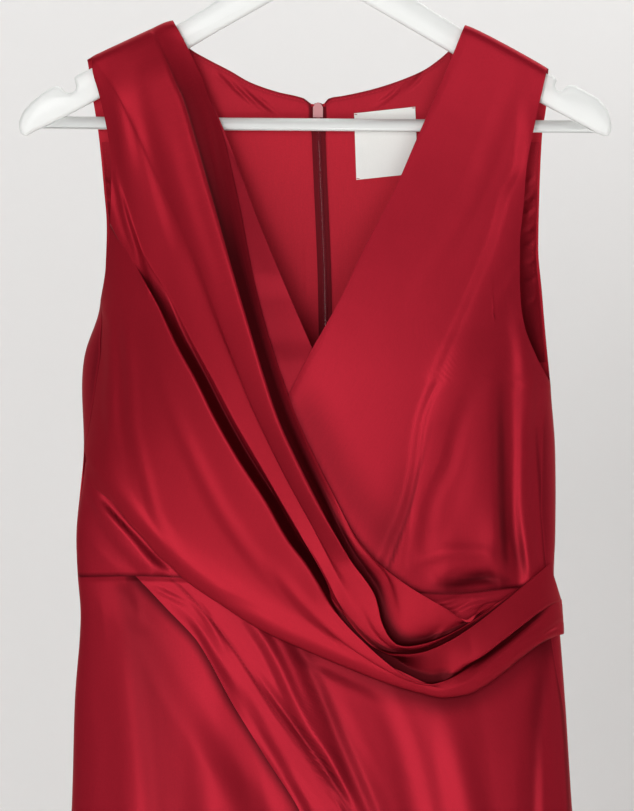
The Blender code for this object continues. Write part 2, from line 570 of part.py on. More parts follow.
def bend_ends(x, v, drop, ends, top, bottom):
    """Bend the first and last rows of a panel from straight lines to its real top and bottom."""
    (top_a, top_b), (bottom_a, bottom_b) = ends
    bend = (top(x) - straight_drop(top_a, top_b, x)) * (1.0 - v) ** 2
    return drop + bend + (bottom(x) - straight_drop(bottom_a, bottom_b, x)) * v ** 2


def front_panel(left_edge, right_edge, places, columns, lift_at, folds, top, bottom, growth=0.0):
    """Grid between two edges, each a function of a row place that gives x and drop."""
    ends = ((left_edge(0.0), right_edge(0.0)), (left_edge(1.0), right_edge(1.0)))
    rows = []
    for v in places:
        (xa, da), (xb, db) = left_edge(v), right_edge(v)
        start = side_angle(xa, da)
        end = side_angle(xb, db)
        row = []
        for j in range(columns + 1):
            angle = mix(start, end, j / columns)
            drop = mix(da, db, j / columns)
            for again in range(3):
                x = angle_x(angle, drop)
                drop = mix(da, db, (x - xa) / (xb - xa))
            if j == 0:
                x, drop = xa, da
            if j == columns:
                x, drop = xb, db
            drop = bend_ends(x, v, drop, ends, top, bottom)
            lift = lift_at(x, drop)
            lift += fold_relief(folds, x, drop, growth) * side_fade(x, drop)
            row.append(form_point(x, drop, lift, True))
        rows.append(row)
    return rows


def seam_share(drop, on_left):
    """Space to leave at a side seam, as x: the surface there runs partly across."""
    inset = smooth_value(SEAM_INSETS, 1 if on_left else 2, drop)
    return GAP * 0.5 * soft_step(inset, 0.0, 6.0)


def front_edge(v, start, armhole, armhole_drop, on_left, end, inset=0.0):
    """Armhole, then side seam, of a front: the row place gives x and drop."""
    drop = mix(start, end, v)
    if drop < armhole_drop:
        x = smooth_value(armhole, 1, drop)
    else:
        x = seam_x(drop, on_left)
    inward = 1.0 if on_left else -1.0
    return x + inward * (inset + seam_share(drop, on_left)), drop


def close_seam(rows, column):
    """Keep a side column of a front off the seam by half the gap."""
    for row in rows:
        x, y, z = row[column]
        if abs(y) < GAP * 0.5:
            row[column] = (x, -GAP * 0.5, z)


def no_lift(x, drop):
    return 0.0


def left_front_grid():
    end_left, end_right = waist_drop(-86.0), waist_drop(170.0)

    def neck(v):
        drop = mix(2.2, end_left, v)
        return smooth_value(LEFT_FRONT_NECK, 1, drop), drop

    def side(v):
        return front_edge(v, 34.2, RIGHT_FRONT_ARMHOLE, RIGHT_ARMHOLE_DROP, False, end_right)

    places = eased_steps(BODICE_ROWS, SHOULDER_ROWS, 1.0)
    rows = front_panel(neck, side, places, 14, no_lift, LEFT_FRONT_FOLDS, shoulder_drop, waist_drop)
    rows[0] = [(p[0], -GAP * 0.5, p[2]) for p in rows[0]]
    close_seam(rows, -1)
    return rows


def under_front_lift(x, drop):
    below_drape = soft_step(drop, 330.0, 372.0) * (1.0 - soft_step(x, -138.0, -108.0))
    under_roll = UNDER_SHOULDER_SPACE * (1.0 - soft_step(drop - shoulder_drop(x), 12.0, 40.0))
    near_armhole = soft_step(drop, 185.0, 205.0) * (1.0 - soft_step(drop, 232.0, 255.0))
    return -LAYER * (1.0 - below_drape) - under_roll - UNDER_ARMHOLE_SPACE * near_armhole


def under_front_top(x):
    return shoulder_drop(x) + LAYER + mix(*UNDER_SHOULDER_DROPS, soft_step(-x, 106.0, 120.0))


def right_front_grid():
    end_left, end_right = waist_drop(-177.0), waist_drop(72.0)

    def side(v):
        drop = mix(27.0, end_left, v)
        inset = UNDER_INSET * (1.0 - soft_step(drop, 300.0, 345.0))
        inset += UNDER_TIP_INSET * (1.0 - soft_step(drop, 30.0, 60.0))
        return front_edge(v, 27.0, LEFT_FRONT_ARMHOLE, LEFT_ARMHOLE_DROP, True, end_left, inset)

    def neck(v):
        drop = mix(0.4, end_right, v)
        return smooth_value(RIGHT_FRONT_NECK, 1, drop), drop

    places = eased_steps(BODICE_ROWS, SHOULDER_ROWS, 1.0)
    rows = front_panel(side, neck, places, 10, under_front_lift, RIGHT_FRONT_FOLDS,
                       under_front_top, waist_drop)
    rows[0] = [(p[0], -GAP * 0.5, p[2]) for p in rows[0]]
    close_seam(rows, 0)
    return rows


def chord_places(points):
    """Distance along a fold line, shared out so that every fold turns at the same column."""
    along = [0.0]
    for a, b in zip(points, points[1:]):
        along.append(along[-1] + math.hypot(b[0] - a[0], b[1] - a[1]))
    turn = next(k for k, p in enumerate(points) if p[0] >= DRAPE_TURN_X)
    before, after = along[turn], along[-1] - along[turn]
    return [DRAPE_TURN_SHARE * s / before if s <= before
            else DRAPE_TURN_SHARE + (1.0 - DRAPE_TURN_SHARE) * (s - before) / after for s in along]


def drape_point_table():
    """The folds as tables that are read by the share of their length."""
    tables = []
    for name, points in DRAPE_FOLDS:
        rows = []
        for share, (x, drop, lift) in zip(chord_places(points), points):
            rows.append((share, x, max(drop - shoulder_drop(x), 0.0), lift))
        tables.append(rows)
    return tables


def drape_point(tables, share, fold_place):
    """x, drop and lift of the drape at a share of its length, between two folds."""
    across = [(k, *(smooth_value(rows, c, share) for c in (1, 2, 3))) for k, rows in enumerate(tables)]
    x = smooth_value(across, 1, fold_place)
    drop = smooth_value(across, 2, fold_place) + shoulder_drop(x)
    return x, drop, smooth_value(across, 3, fold_place)


def drape_side_x(drop):
    """The drape's own edge: down the armhole, then along the side seam."""
    if drop < LEFT_ARMHOLE_DROP:
        return smooth_value(LEFT_FRONT_ARMHOLE, 1, drop)
    return seam_x(drop, True) + seam_share(drop, True) + DRAPE_SEAM_SPACE * soft_step(drop, 206.0, 225.0)


def drape_grid():
    tables = drape_point_table()
    places = [k + share for k, shares in enumerate(FOLD_ROWS) for share in shares]
    rows = []
    for place in places:
        start_x, start_drop, start_lift = drape_point(tables, 0.0, place)
        shift = 0.0
        if start_drop < DRAPE_SEAM_END and place < DRAPE_CORNER_FOLD:
            shift = drape_side_x(start_drop) - start_x
        row = []
        for j in range(DRAPE_COLUMNS + 1):
            share = 1.0 - (1.0 - (j / DRAPE_COLUMNS) ** DRAPE_START_CROWD) ** DRAPE_END_CROWD
            x, drop, lift = drape_point(tables, share, place)
            x += shift * max(1.0 - share / DRAPE_SHIFT_SHARE, 0.0)
            point = form_point(x, drop, lift, True)
            space = GAP * 0.5
            if j == 0:
                near_armhole = soft_step(drop, 180.0, 200.0) * (1.0 - soft_step(drop, 222.0, 245.0))
                space += ARMHOLE_END_SPACE * near_armhole
            row.append((point[0], min(point[1], -space), point[2]))
        rows.append(row)
    return rows


def neck_point_angles(on_left):
    """Angles of the three close columns where the back turns steeply over the hanger arm."""
    point_x, drop = BACK_NECK[0 if on_left else -1]
    point_x = abs(point_x)
    width = half_width(drop, on_left)
    return [math.acos((x / width) ** (1.0 / SIDE_FLATNESS)) for x in (point_x, point_x - 1.1, point_x - 4.2)]


def back_top(x):
    """Shoulder line outside the neck points, neck edge between them."""
    if x < BACK_NECK[0][0] or x > BACK_NECK[-1][0]:
        return shoulder_drop(x)
    return smooth_value(BACK_NECK, 1, x)


def centre_back_x(drop):
    return smooth_value(CENTRE_BACK, 1, drop)


def back_side_angle(drop, on_left):
    """Angle of the side seam on the back: below 0 it lies on the front side."""
    inset = smooth_value(SEAM_INSETS, 1 if on_left else 2, drop)
    share = (1.0 - inset / half_width(drop, on_left)) ** (1.0 / SIDE_FLATNESS)
    return -math.acos(min(share, 1.0))


def back_angles(start, end, columns, on_left):
    """Column angles from the side to the middle, with close ones at the neck point."""
    before = round(columns * 0.4)
    after = columns - before - 2
    outer, middle, inner = neck_point_angles(on_left)
    angles = [mix(start, outer, j / before) for j in range(before + 1)]
    return angles + [middle] + [mix(inner, end, j / after) for j in range(after + 1)]


def back_row(on_left, side_x, side_drop, centre_x, centre_drop, columns, folds, growth, bend):
    """One row of a back panel from the side to the middle, round the side where it must."""
    mirror = 1.0 if on_left else -1.0
    is_seam = side_x is None
    if is_seam:
        side_x = seam_x(side_drop, on_left)
        start = back_side_angle(bend(side_x, side_drop), on_left)
        side_x = -mirror * half_width(side_drop, on_left)
    else:
        width = half_width(bend(side_x, side_drop), on_left)
        start = math.acos(min(abs(side_x) / width, 1.0) ** (1.0 / SIDE_FLATNESS))
    centre_angle = side_angle(mirror * centre_x, centre_drop)
    row = []
    for j, angle in enumerate(back_angles(start, centre_angle, columns, on_left)):
        drop = mix(side_drop, centre_drop, j / columns)
        c = math.cos(angle)
        for again in range(4):
            width = half_width(drop, on_left if c > 0.0 else not on_left)
            x = -mirror * math.copysign(width * abs(c) ** SIDE_FLATNESS, c)
            t = min(max((x - side_x) / (centre_x - side_x), 0.0), 1.0)
            drop = bend(x, mix(side_drop, centre_drop, t))
        if j == columns:
            x, drop = centre_x, bend(centre_x, centre_drop)
        lift = fold_relief(folds, x, drop, growth) * side_fade(x, drop)
        row.append(form_point(x, drop, lift, angle < 0.0))
    if is_seam:
        p, q = row[0], row[1]
        size = math.dist(p, q)
        row[0] = tuple(p[k] + (q[k] - p[k]) * (GAP * 0.55) / size for k in range(3))
    return row


def back_gap(drop):
    """Half the space between the two backs; wider at the top for the slider."""
    return mix(SLIDER_NOTCH, GAP * 0.55, soft_step(drop, SLIDER_NOTCH_DROP, SLIDER_NOTCH_DROP + 8.0))


def back_bodice_grid(on_left):
    armhole = LEFT_BACK_ARMHOLE if on_left else RIGHT_BACK_ARMHOLE
    armhole_drop = LEFT_ARMHOLE_DROP if on_left else RIGHT_ARMHOLE_DROP
    mirror = 1.0 if on_left else -1.0
    top_side, top_centre = (armhole[0][1], back_top(armhole[0][1])), (0.0, BACK_NECK_DROP)
    end_side, end_centre = (-mirror * 176.0, waist_drop(-mirror * 176.0)), (8.0, waist_drop(8.0))
    ends = ((top_side, top_centre), (end_side, end_centre))
    rows = []
    for v in eased_steps(BODICE_ROWS, SHOULDER_ROWS, 1.0):
        side_drop, centre_drop = mix(top_side[1], end_side[1], v), mix(top_centre[1], end_centre[1], v)
        side_x = smooth_value(armhole, 1, side_drop) if side_drop < armhole_drop - 0.5 else None
        centre_x = centre_back_x(centre_drop) - mirror * back_gap(centre_drop)

        def bend(x, drop):
            return bend_ends(x, v, drop, ends, back_top, waist_drop)

        row = back_row(on_left, side_x, side_drop, centre_x, centre_drop, 14, BACK_BODICE_FOLDS, 0.0, bend)
        if v == 0.0:
            row = [(p[0], max(p[1], GAP * 0.5), p[2]) for p in row]
        rows.append(row)
    return rows


def skirt_places(count):
    return [(k / count) ** 1.25 for k in range(count + 1)]


def skirt_top(x):
    """The skirt starts one gap below the waist seam of the bodice."""
    return waist_drop(x) + GAP


def hem_drop(x):
    return HEM_DROP


def under_skirt_lift(x, drop):
    """The covered part of the lower skirt front hangs behind, further apart towards the hem."""
    edge = smooth_value(WRAP_EDGE, 1, drop)
    apart = LAYER + 1.4 + UNDER_SKIRT_APART * soft_step(drop, 430.0, 800.0)
    return -apart * soft_step(x, edge - 52.0, edge - 20.0)


def skirt_front_grid(on_left):
    """The lower front, at the left of the picture, or the upper front that wraps over it."""
    def seam(v):
        start = skirt_top(-177.0 if on_left else 170.0)
        drop = mix(start, HEM_DROP, v)
        inward = 1.0 if on_left else -1.0
        return seam_x(drop, on_left) + inward * seam_share(drop, on_left), drop

    def inner(v):
        table = UNDER_SKIRT_EDGE if on_left else WRAP_EDGE
        start = skirt_top(table[0][1])
        drop = mix(start, HEM_DROP, v)
        return smooth_value(table, 1, drop), drop

    if on_left:
        rows = front_panel(seam, inner, skirt_places(SKIRT_ROWS), 12, under_skirt_lift, SKIRT_FOLDS,
                           skirt_top, hem_drop, FOLD_GROWTH_DROP)
        close_seam(rows, 0)
    else:
        rows = front_panel(inner, seam, skirt_places(SKIRT_ROWS), 17, no_lift, SKIRT_FOLDS,
                           skirt_top, hem_drop, FOLD_GROWTH_DROP)
        close_seam(rows, -1)
    return rows


def skirt_back_grid(on_left):
    mirror = 1.0 if on_left else -1.0
    side_start, centre_start = skirt_top(-mirror * 176.0), skirt_top(8.0)
    ends = (((-mirror * 176.0, side_start), (8.0, centre_start)),
            ((-mirror * 280.0, HEM_DROP), (8.0, HEM_DROP)))
    rows = []
    for v in skirt_places(SKIRT_ROWS):
        side_drop, centre_drop = mix(side_start, HEM_DROP, v), mix(centre_start, HEM_DROP, v)
        centre_x = centre_back_x(centre_drop) - mirror * back_gap(centre_drop)

        def bend(x, drop):
            return bend_ends(x, v, drop, ends, skirt_top, hem_drop)

        rows.append(back_row(on_left, None, side_drop, centre_x, centre_drop, 12,
                             BACK_SKIRT_FOLDS, FOLD_GROWTH_DROP, bend))
    return rows


def neck_facing_grid(on_left):
    """Facing inside the back neck, from near the shoulder to the zip tape."""
    mirror = 1.0 if on_left else -1.0
    outer = 96.0 if on_left else 99.0
    rows = []
    inner = centre_back_x(70.0) - mirror * (SLIDER_NOTCH + TAPE_WIDTH + GAP)
    for v in (0.0, 0.5, 1.0):
        row = []
        for j in range(13):
            x = mix(-mirror * outer, inner, j / 12)
            top = smooth_value(BACK_NECK, 1, x) + 0.5
            bottom = 77.0 + 1.5 * v
            drop = mix(top, bottom, v)
            row.append(form_point(x, drop, TRIM_LIFT, False))
        rows.append(row)
    return rows


def armhole_facing_grid(on_left):
    """Facing inside the back armhole, as wide as shows past the front edge."""
    armhole = LEFT_BACK_ARMHOLE if on_left else RIGHT_BACK_ARMHOLE
    armhole_drop = LEFT_ARMHOLE_DROP if on_left else RIGHT_ARMHOLE_DROP
    mirror = 1.0 if on_left else -1.0
    rows = []
    for i in range(11):
        v = i / 10
        drop = mix(88.0, armhole_drop - 16.0, v)
        edge = smooth_value(armhole, 1, drop)
        width = mix(24.0, 14.0, v)
        row = []
        for j in range(3):
            x = edge + mirror * mix(2.0, width, j / 2)
            row.append(form_point(x, drop, ARMHOLE_FACING_LIFT, False))
        rows.append(row)
    return rows


def zip_tape_grid(on_left):
    mirror = 1.0 if on_left else -1.0
    rows = []
    count = 22
    for i in range(count + 1):
        drop = mix(61.5, ZIP_END_DROP, i / count)
        middle = centre_back_x(drop)
        near = middle - mirror * back_gap(drop)
        far = near - mirror * TAPE_WIDTH
        row = []
        for x in (far, near):
            lift = TRIM_LIFT + fold_relief(BACK_SKIRT_FOLDS, x, drop, FOLD_GROWTH_DROP)
            row.append(form_point(x, drop, lift, False))
        rows.append(row)
    return rows


def label_grid():
    top_left, top_right, bottom_right, bottom_left = LABEL_CORNERS
    rows = []
    for i in range(5):
        v = i / 4
        row = []
        for j in range(5):
            u = j / 4
            x = mix(mix(top_left[0], top_right[0], u), mix(bottom_left[0], bottom_right[0], u), v)
            drop = mix(mix(top_left[1], top_right[1], u), mix(bottom_left[1], bottom_right[1], u), v)
            facing_below = 1.0 - soft_step(drop, 79.0, 92.0)
            row.append(form_point(x, drop, TRIM_LIFT - (TRIM_WALL + GAP) * facing_below, False))
        rows.append(row)
    return rows


def hanger_arms(material):
    outline = HANGER_TOP + HANGER_RIGHT_END + HANGER_BOTTOM + HANGER_LEFT_END
    count = len(outline)
    points = [(x, -HANGER_THICKNESS * 0.5, SHOULDER_Z - drop) for x, drop in outline]
    points += [(x, HANGER_THICKNESS * 0.5, SHOULDER_Z - drop) for x, drop in outline]
    faces = [tuple(reversed(range(count))), tuple(range(count, 2 * count))]
    for k in range(count):
        after = (k + 1) % count
        faces.append((k, after, after + count, k + count))
    arms = make_object("hanger_arms", points, faces, material, smooth=False)
    bevel = arms.modifiers.new("edges", "BEVEL")
    bevel.width = HANGER_EDGE * MM
    bevel.segments = 2
    bevel.limit_method = "ANGLE"
    bevel.angle_limit = math.radians(60.0)
    bevel.use_clamp_overlap = True
    return arms


def slanted_end(z, underside):
    """x of the arm's underside line at a height, for the bar's cut end."""
    (xa, da), (xb, db) = underside
    drop = SHOULDER_Z - z
    return xa + (xb - xa) * (drop - da) / (db - da)


def hanger_bar(material):
    points = []
    along = math.hypot(ARM_UNDERSIDE_LEFT[0][0] - ARM_UNDERSIDE_LEFT[1][0],
                       ARM_UNDERSIDE_LEFT[0][1] - ARM_UNDERSIDE_LEFT[1][1])
    rise = abs(ARM_UNDERSIDE_LEFT[0][1] - ARM_UNDERSIDE_LEFT[1][1]) / along
    for underside, end_drop, inward in ((ARM_UNDERSIDE_LEFT, BAR_LEFT_DROP, 1.0),
                                        (ARM_UNDERSIDE_RIGHT, BAR_RIGHT_DROP, -1.0)):
        for k in range(BAR_SIDES):
            turn = 2.0 * math.pi * k / BAR_SIDES
            y = BAR_RADIUS * math.cos(turn)
            z = SHOULDER_Z - end_drop + BAR_RADIUS * math.sin(turn)
            x = slanted_end(z, underside) + inward * (GAP / rise + 0.3)
            points.append((x, y, z))
    faces = [tuple(range(BAR_SIDES)), tuple(reversed(range(BAR_SIDES, 2 * BAR_SIDES)))]
    for k in range(BAR_SIDES):
        after = (k + 1) % BAR_SIDES
        faces.append((k, k + BAR_SIDES, after + BAR_SIDES, after))
    return make_object("hanger_bar", points, faces, material)


def swept_wire(name, path, radius, sides, material):
    """Round wire in the plane of the hanger along a path of (x, z)."""
    points = []
    last = len(path) - 1
    for k, (x, z) in enumerate(path):
        ahead, behind = path[min(k + 1, last)], path[max(k - 1, 0)]
        dx, dz = ahead[0] - behind[0], ahead[1] - behind[1]
        size = math.hypot(dx, dz)
        side_x, side_z = -dz / size, dx / size
        for s in range(sides):
            turn = 2.0 * math.pi * s / sides
            out, y = radius * math.cos(turn), radius * math.sin(turn)
            points.append((x + out * side_x, y, z + out * side_z))
    faces = [tuple(range(sides)), tuple(reversed(range(last * sides, (last + 1) * sides)))]
    for k in range(last):
        for s in range(sides):
            a, b = k * sides + s, k * sides + (s + 1) % sides
            faces.append((a, a + sides, b + sides, b))
    return make_object(name, points, faces, material)


def hook_path():
    """From the tip, over the crook and back in to the stem above the arms."""
    radius = HOOK_CREST + HOOK_WIRE
    middle_z = -HOOK_CREST
    path = []
    for k in range(19):
        turn = math.radians(mix(200.0, -62.0, k / 18))
        path.append((radius * math.cos(turn), middle_z + radius * math.sin(turn)))
    x0, z0 = path[-1]
    path += [(x0 * 0.52, z0 - 3.6), (x0 * 0.16, z0 - 8.0), (0.0, z0 - 13.0)]
    path.append((0.0, SHOULDER_Z + 69.0 + GAP + 0.1))
    return path


def box(name, low, high, material, origin=(0.0, 0.0, 0.0)):
    points = [(x, y, z) for z in (low[2], high[2]) for y in (low[1], high[1]) for x in (low[0], high[0])]
    faces = [(0, 2, 3, 1), (4, 5, 7, 6), (0, 1, 5, 4), (2, 6, 7, 3), (0, 4, 6, 2), (1, 3, 7, 5)]
    return make_object(name, points, faces, material, smooth=False, origin=origin)


def join_boolean(target, tool, operation):
    """Join or cut with an exact boolean and keep the result as the target's mesh."""
    change = target.modifiers.new(operation.lower(), "BOOLEAN")
    change.object = tool
    change.operation = operation
    change.solver = "EXACT"
    bpy.context.view_layer.update()
    depsgraph = bpy.context.evaluated_depsgraph_get()
    result = bpy.data.meshes.new_from_object(target.evaluated_get(depsgraph))
    target.modifiers.clear()
    target.data = result
    bpy.data.objects.remove(tool, do_unlink=True)


def round_bar(name, centre, radius, length, sides, material):
    """Cylinder along x about a place."""
    points = []
    for end in (-0.5, 0.5):
        for k in range(sides):
            turn = 2.0 * math.pi * k / sides
            points.append((centre[0] + end * length, centre[1] + radius * math.cos(turn),
                           centre[2] + radius * math.sin(turn)))
    faces = [tuple(range(sides)), tuple(reversed(range(sides, 2 * sides)))]
    for k in range(sides):
        after = (k + 1) % sides
        faces.append((k, k + sides, after + sides, after))
    return make_object(name, points, faces, material, smooth=False)


def zip_slider_and_pull(metal):
    """Slider body inside, a neck through the notch, two lugs with a pin outside, and the pull."""
    x = centre_back_x(SLIDER_DROP)
    z = SHOULDER_Z - SLIDER_DROP
    width, thick, height = SLIDER_SIZE
    inner = form_y(x, SLIDER_DROP - height * 0.5, 0.0, False)
    body_back = inner + TRIM_LIFT - TRIM_WALL * 0.5 - GAP
    plate_front = form_y(x, SLIDER_DROP + height * 0.5, 0.0, False) + WALL * 0.5 + GAP
    plate_back = plate_front + 1.2
    pin_y = plate_back + 1.9
    pin_z = z + 1.0
    slider = box("zip_slider", (x - width / 2, body_back - thick, z - height / 2),
                 (x + width / 2, body_back, z + height / 2), metal)
    neck_half = SLIDER_NOTCH - GAP - WALL * 0.25
    join_boolean(slider, box("neck", (x - neck_half, body_back - 0.5, z + 0.5),
                             (x + neck_half, plate_back - 0.3, z + 4.0), metal), "UNION")
    join_boolean(slider, box("plate", (x - width * 0.42, plate_front, z - 4.2),
                             (x + width * 0.42, plate_back, z + 4.2), metal), "UNION")
    for side in (-1.0, 1.0):
        middle = x + side * (PULL_WIDTH * 0.5 - LUG_WIDTH * 0.5 + 0.3)
        join_boolean(slider, box("lug", (middle - LUG_WIDTH / 2, plate_back - 0.3, pin_z - 0.9),
                                 (middle + LUG_WIDTH / 2, pin_y + 0.9, pin_z + 0.9), metal), "UNION")
    pin_length = PULL_WIDTH + 0.6 - LUG_WIDTH
    join_boolean(slider, round_bar("pin", (x, pin_y, pin_z), PIN_RADIUS, pin_length, 12, metal), "UNION")

    eye_half = PULL_WIDTH * 0.5 - LUG_WIDTH - 0.05
    pull = round_bar("zip_pull", (x, pin_y, pin_z), PULL_EYE_OUTER * 0.78, 2 * eye_half, 16, metal)
    tab_top = pin_z - 1.0
    join_boolean(pull, box("stem", (x - eye_half, pin_y - 0.5, pin_z - 4.2),
                           (x + eye_half, pin_y + 0.5, tab_top), metal), "UNION")
    join_boolean(pull, box("tab", (x - PULL_WIDTH / 2, pin_y - PULL_THICKNESS / 2, pin_z - PULL_LENGTH),
                           (x + PULL_WIDTH / 2, pin_y + PULL_THICKNESS / 2, pin_z - 3.6), metal), "UNION")
    join_boolean(pull, round_bar("eye", (x, pin_y, pin_z), PULL_EYE_RADIUS, PULL_WIDTH * 2.0, 16, metal),
                 "DIFFERENCE")
    for vertex in pull.data.vertices:
        vertex.co.x -= x * MM
        vertex.co.y -= pin_y * MM
        vertex.co.z -= pin_z * MM
    pull.location = (x * MM, pin_y * MM, pin_z * MM)
    pull.parent = slider
    return slider, pull


def main():
    clear_scene()
    satin = fabric("satin", (0.40, 0.016, 0.035), 0.40, 0.1)
    reverse = fabric("satin_facing", (0.38, 0.015, 0.032), 0.45)
    tape = fabric("zip_tape", (0.22, 0.006, 0.02), 0.7)
    metal = fabric("zip_enamel", (0.55, 0.16, 0.2), 0.35)
    white = fabric("woven_label", (0.86, 0.86, 0.84), 0.8)
    gloss = fabric("hanger_gloss", (0.85, 0.87, 0.85), 0.3)
    wire = fabric("hook_steel", (0.75, 0.75, 0.76), 0.25, 1.0)

    cloth_wall("front_drape", drape_grid(), satin)
    cloth_wall("front_bodice_left", left_front_grid(), satin)
    cloth_wall("front_bodice_right", right_front_grid(), satin)
    cloth_wall("skirt_front_left", skirt_front_grid(False), satin)
    cloth_wall("skirt_front_right", skirt_front_grid(True), satin)
    for side, on_left in (("right", True), ("left", False)):
        cloth_wall("back_bodice_" + side, back_bodice_grid(on_left), satin)
        cloth_wall("skirt_back_" + side, skirt_back_grid(on_left), satin)
        cloth_wall("neck_facing_" + side, neck_facing_grid(on_left), reverse, TRIM_WALL)
        cloth_wall("armhole_facing_" + side, armhole_facing_grid(on_left), reverse, TRIM_WALL)
        cloth_wall("zip_tape_" + side, zip_tape_grid(on_left), tape, TRIM_WALL)
    cloth_wall("label", label_grid(), white, TRIM_WALL)
    hanger_arms(gloss)
    hanger_bar(gloss)
    swept_wire("hanger_hook", hook_path(), HOOK_WIRE, HOOK_SIDES, wire)
    zip_slider_and_pull(metal)


main()
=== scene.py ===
"""Looks of the maxi dress: cherry-red satin with a pleated drape, on a white clothes hanger.

Sizes in the tables are millimetres. x runs to the right of the front view, y to the back and
z up, with the origin in the crook of the hanger hook. "Drop" is the distance below the high
point of the shoulder, and "lift" is how far a layer stands out from the form of the dress.
Every satin piece is a thin shell on the middle of its solid wall, with more creases.
"""
import bpy
import math
import numpy as np
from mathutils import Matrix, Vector


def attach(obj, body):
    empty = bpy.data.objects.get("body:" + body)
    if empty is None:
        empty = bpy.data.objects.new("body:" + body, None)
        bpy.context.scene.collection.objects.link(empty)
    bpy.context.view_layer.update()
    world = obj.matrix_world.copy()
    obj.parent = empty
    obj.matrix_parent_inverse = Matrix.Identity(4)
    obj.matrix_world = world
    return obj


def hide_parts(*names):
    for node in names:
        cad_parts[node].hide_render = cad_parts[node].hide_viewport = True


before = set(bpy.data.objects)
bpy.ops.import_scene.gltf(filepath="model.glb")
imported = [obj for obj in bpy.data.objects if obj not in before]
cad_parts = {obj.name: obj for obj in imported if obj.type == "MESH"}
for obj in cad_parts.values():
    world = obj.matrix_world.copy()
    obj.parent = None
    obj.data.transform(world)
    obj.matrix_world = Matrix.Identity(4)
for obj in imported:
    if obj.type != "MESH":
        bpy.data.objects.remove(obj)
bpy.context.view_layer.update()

MM = 0.001
DRESS = "dress_and_hanger"
PULL = "zip_pull_tab"

# Main sizes
SHOULDER_Z = -135.0        # height of the high shoulder point below the hook crook
HEM_DROP = 1400.0
WALL = 1.2                 # the solids' cloth wall
TRIM_WALL = 1.0            # the solids' facings, tape and label
GAP = 0.34                 # space at the solids' seams and between layers
LAYER = WALL + GAP         # from one cloth layer's middle to the next
SIDE_FLATNESS = 0.8        # under 1 squares the sections off a little
SATIN = 0.45               # thickness of the satin itself
WAIST_TUCK = 1.1           # how deep the waist seam is drawn in
WAIST_TUCK_REACH = 5.0     # how far above and below the seam
SEAM = 0.06                # space at the seams of the shells

# Shoulder roll over the hanger arm
ROLL_HEIGHT = 9.0
ROLL_SQUARENESS = 3.0

# Level sections of the form: half widths, depths, and the power that rounds the sides
# (0 keeps front and back flat and apart, 0.5 closes them in a round side).
# drop, left, right, front, back, side_power
SECTIONS = (
    (0, 186, 187, 11, 9, 0),
    (35, 181, 183, 12, 10, 0.02),
    (75, 172, 175, 15, 13, 0.1),
    (120, 165, 171.5, 21, 17, 0.22),
    (165, 159.5, 170, 29, 22, 0.34),
    (206.5, 160, 171, 35, 26, 0.46),
    (248, 173, 172.2, 39, 29, 0.5),
    (267, 174.4, 172.7, 40, 30, 0.5),
    (315, 172.4, 176.6, 38, 30, 0.5),
    (346, 175, 177, 35, 29, 0.5),
    (380, 178, 176.6, 31, 27, 0.5),
    (411, 176.8, 175.2, 29, 26, 0.5),
    (436, 174.6, 178.5, 30, 27, 0.5),
    (501, 179, 183.6, 35, 31, 0.5),
    (583, 181.4, 188.6, 42, 37, 0.5),
    (800, 203, 211, 58, 52, 0.5),
    (1100, 240, 247, 80, 72, 0.5),
    (1400, 280, 285, 98, 90, 0.5),
)

# Shoulder line: distance from the centre, drop on the left, drop on the right
SHOULDER_LINE = ((0, -1.5, 1), (106, -1.5, 1), (111, -0.6, 2.2), (125, 5.8, 8.5), (137, 11.4, 14.8),
    (151, 17.9, 22.4), (158.4, 21.3, 26.6), (166, 25, 31), (174, 30, 36))

# How far the side seams lie in front of the widest line: drop, left, right
SEAM_INSETS = ((206.5, 0, 0), (225, 5.8, 0), (248, 12.2, 0), (267, 10.6, 0), (302, 3.6, 9.4),
    (318, 0, 10.4), (353, 0, 11.6), (383, 0, 9), (399, 0, 6.6), (411, 0, 5), (456, 0, 7.2), (473, 0, 6),
    (516, 0, 1.4), (545, 0, 0), (1400, 0, 0))
LEFT_ARMHOLE_DROP = 206.5
RIGHT_ARMHOLE_DROP = 267.0

# Waist seam: x, drop
WAIST_SEAM = ((-178, 409.2), (-135, 408.4), (-96, 409.6), (-20, 414), (60, 420), (98, 421.6),
    (145, 417.4), (175, 415))

# Armhole edges: drop, x
LEFT_FRONT_ARMHOLE = ((24.8, -166), (32.6, -166), (50.8, -161.5), (62.9, -158.4), (80.7, -154.7),
    (96.2, -152.4), (112.5, -151.7), (150.2, -152.7), (184.3, -155.6), (206.5, -160))
LEFT_BACK_ARMHOLE = ((27.6, -170), (58, -166.2), (86, -162), (127, -158), (156, -155.8), (184, -156.6),
    (206.5, -160))
RIGHT_FRONT_ARMHOLE = ((34.2, 170.2), (58.5, 164.7), (80.7, 159.8), (108.8, 154.5), (137.6, 152.1),
    (164.3, 149.5), (184.3, 149.3), (206.5, 150.1), (225, 153.1), (245.7, 161.3), (267, 172.7))
RIGHT_BACK_ARMHOLE = ((34.8, 171.4), (62, 170), (84, 167), (125, 165), (169, 164), (199, 166.5),
    (229, 169), (267, 172.7))

# Neck edges of the two fronts, going on to the waist under the other layers: drop, x
LEFT_FRONT_NECK = ((2.2, 109.4), (21.5, 99.9), (71.8, 74.7), (115, 54.4), (153.9, 33), (182.8, 20.5),
    (233.1, -5.5), (272.3, -23.7), (405, -86))
RIGHT_FRONT_NECK = ((0.4, -106.6), (18, -95.6), (38.5, -82.9), (49.6, -75.5), (140, -39.5), (230.9, -3),
    (412, 72))

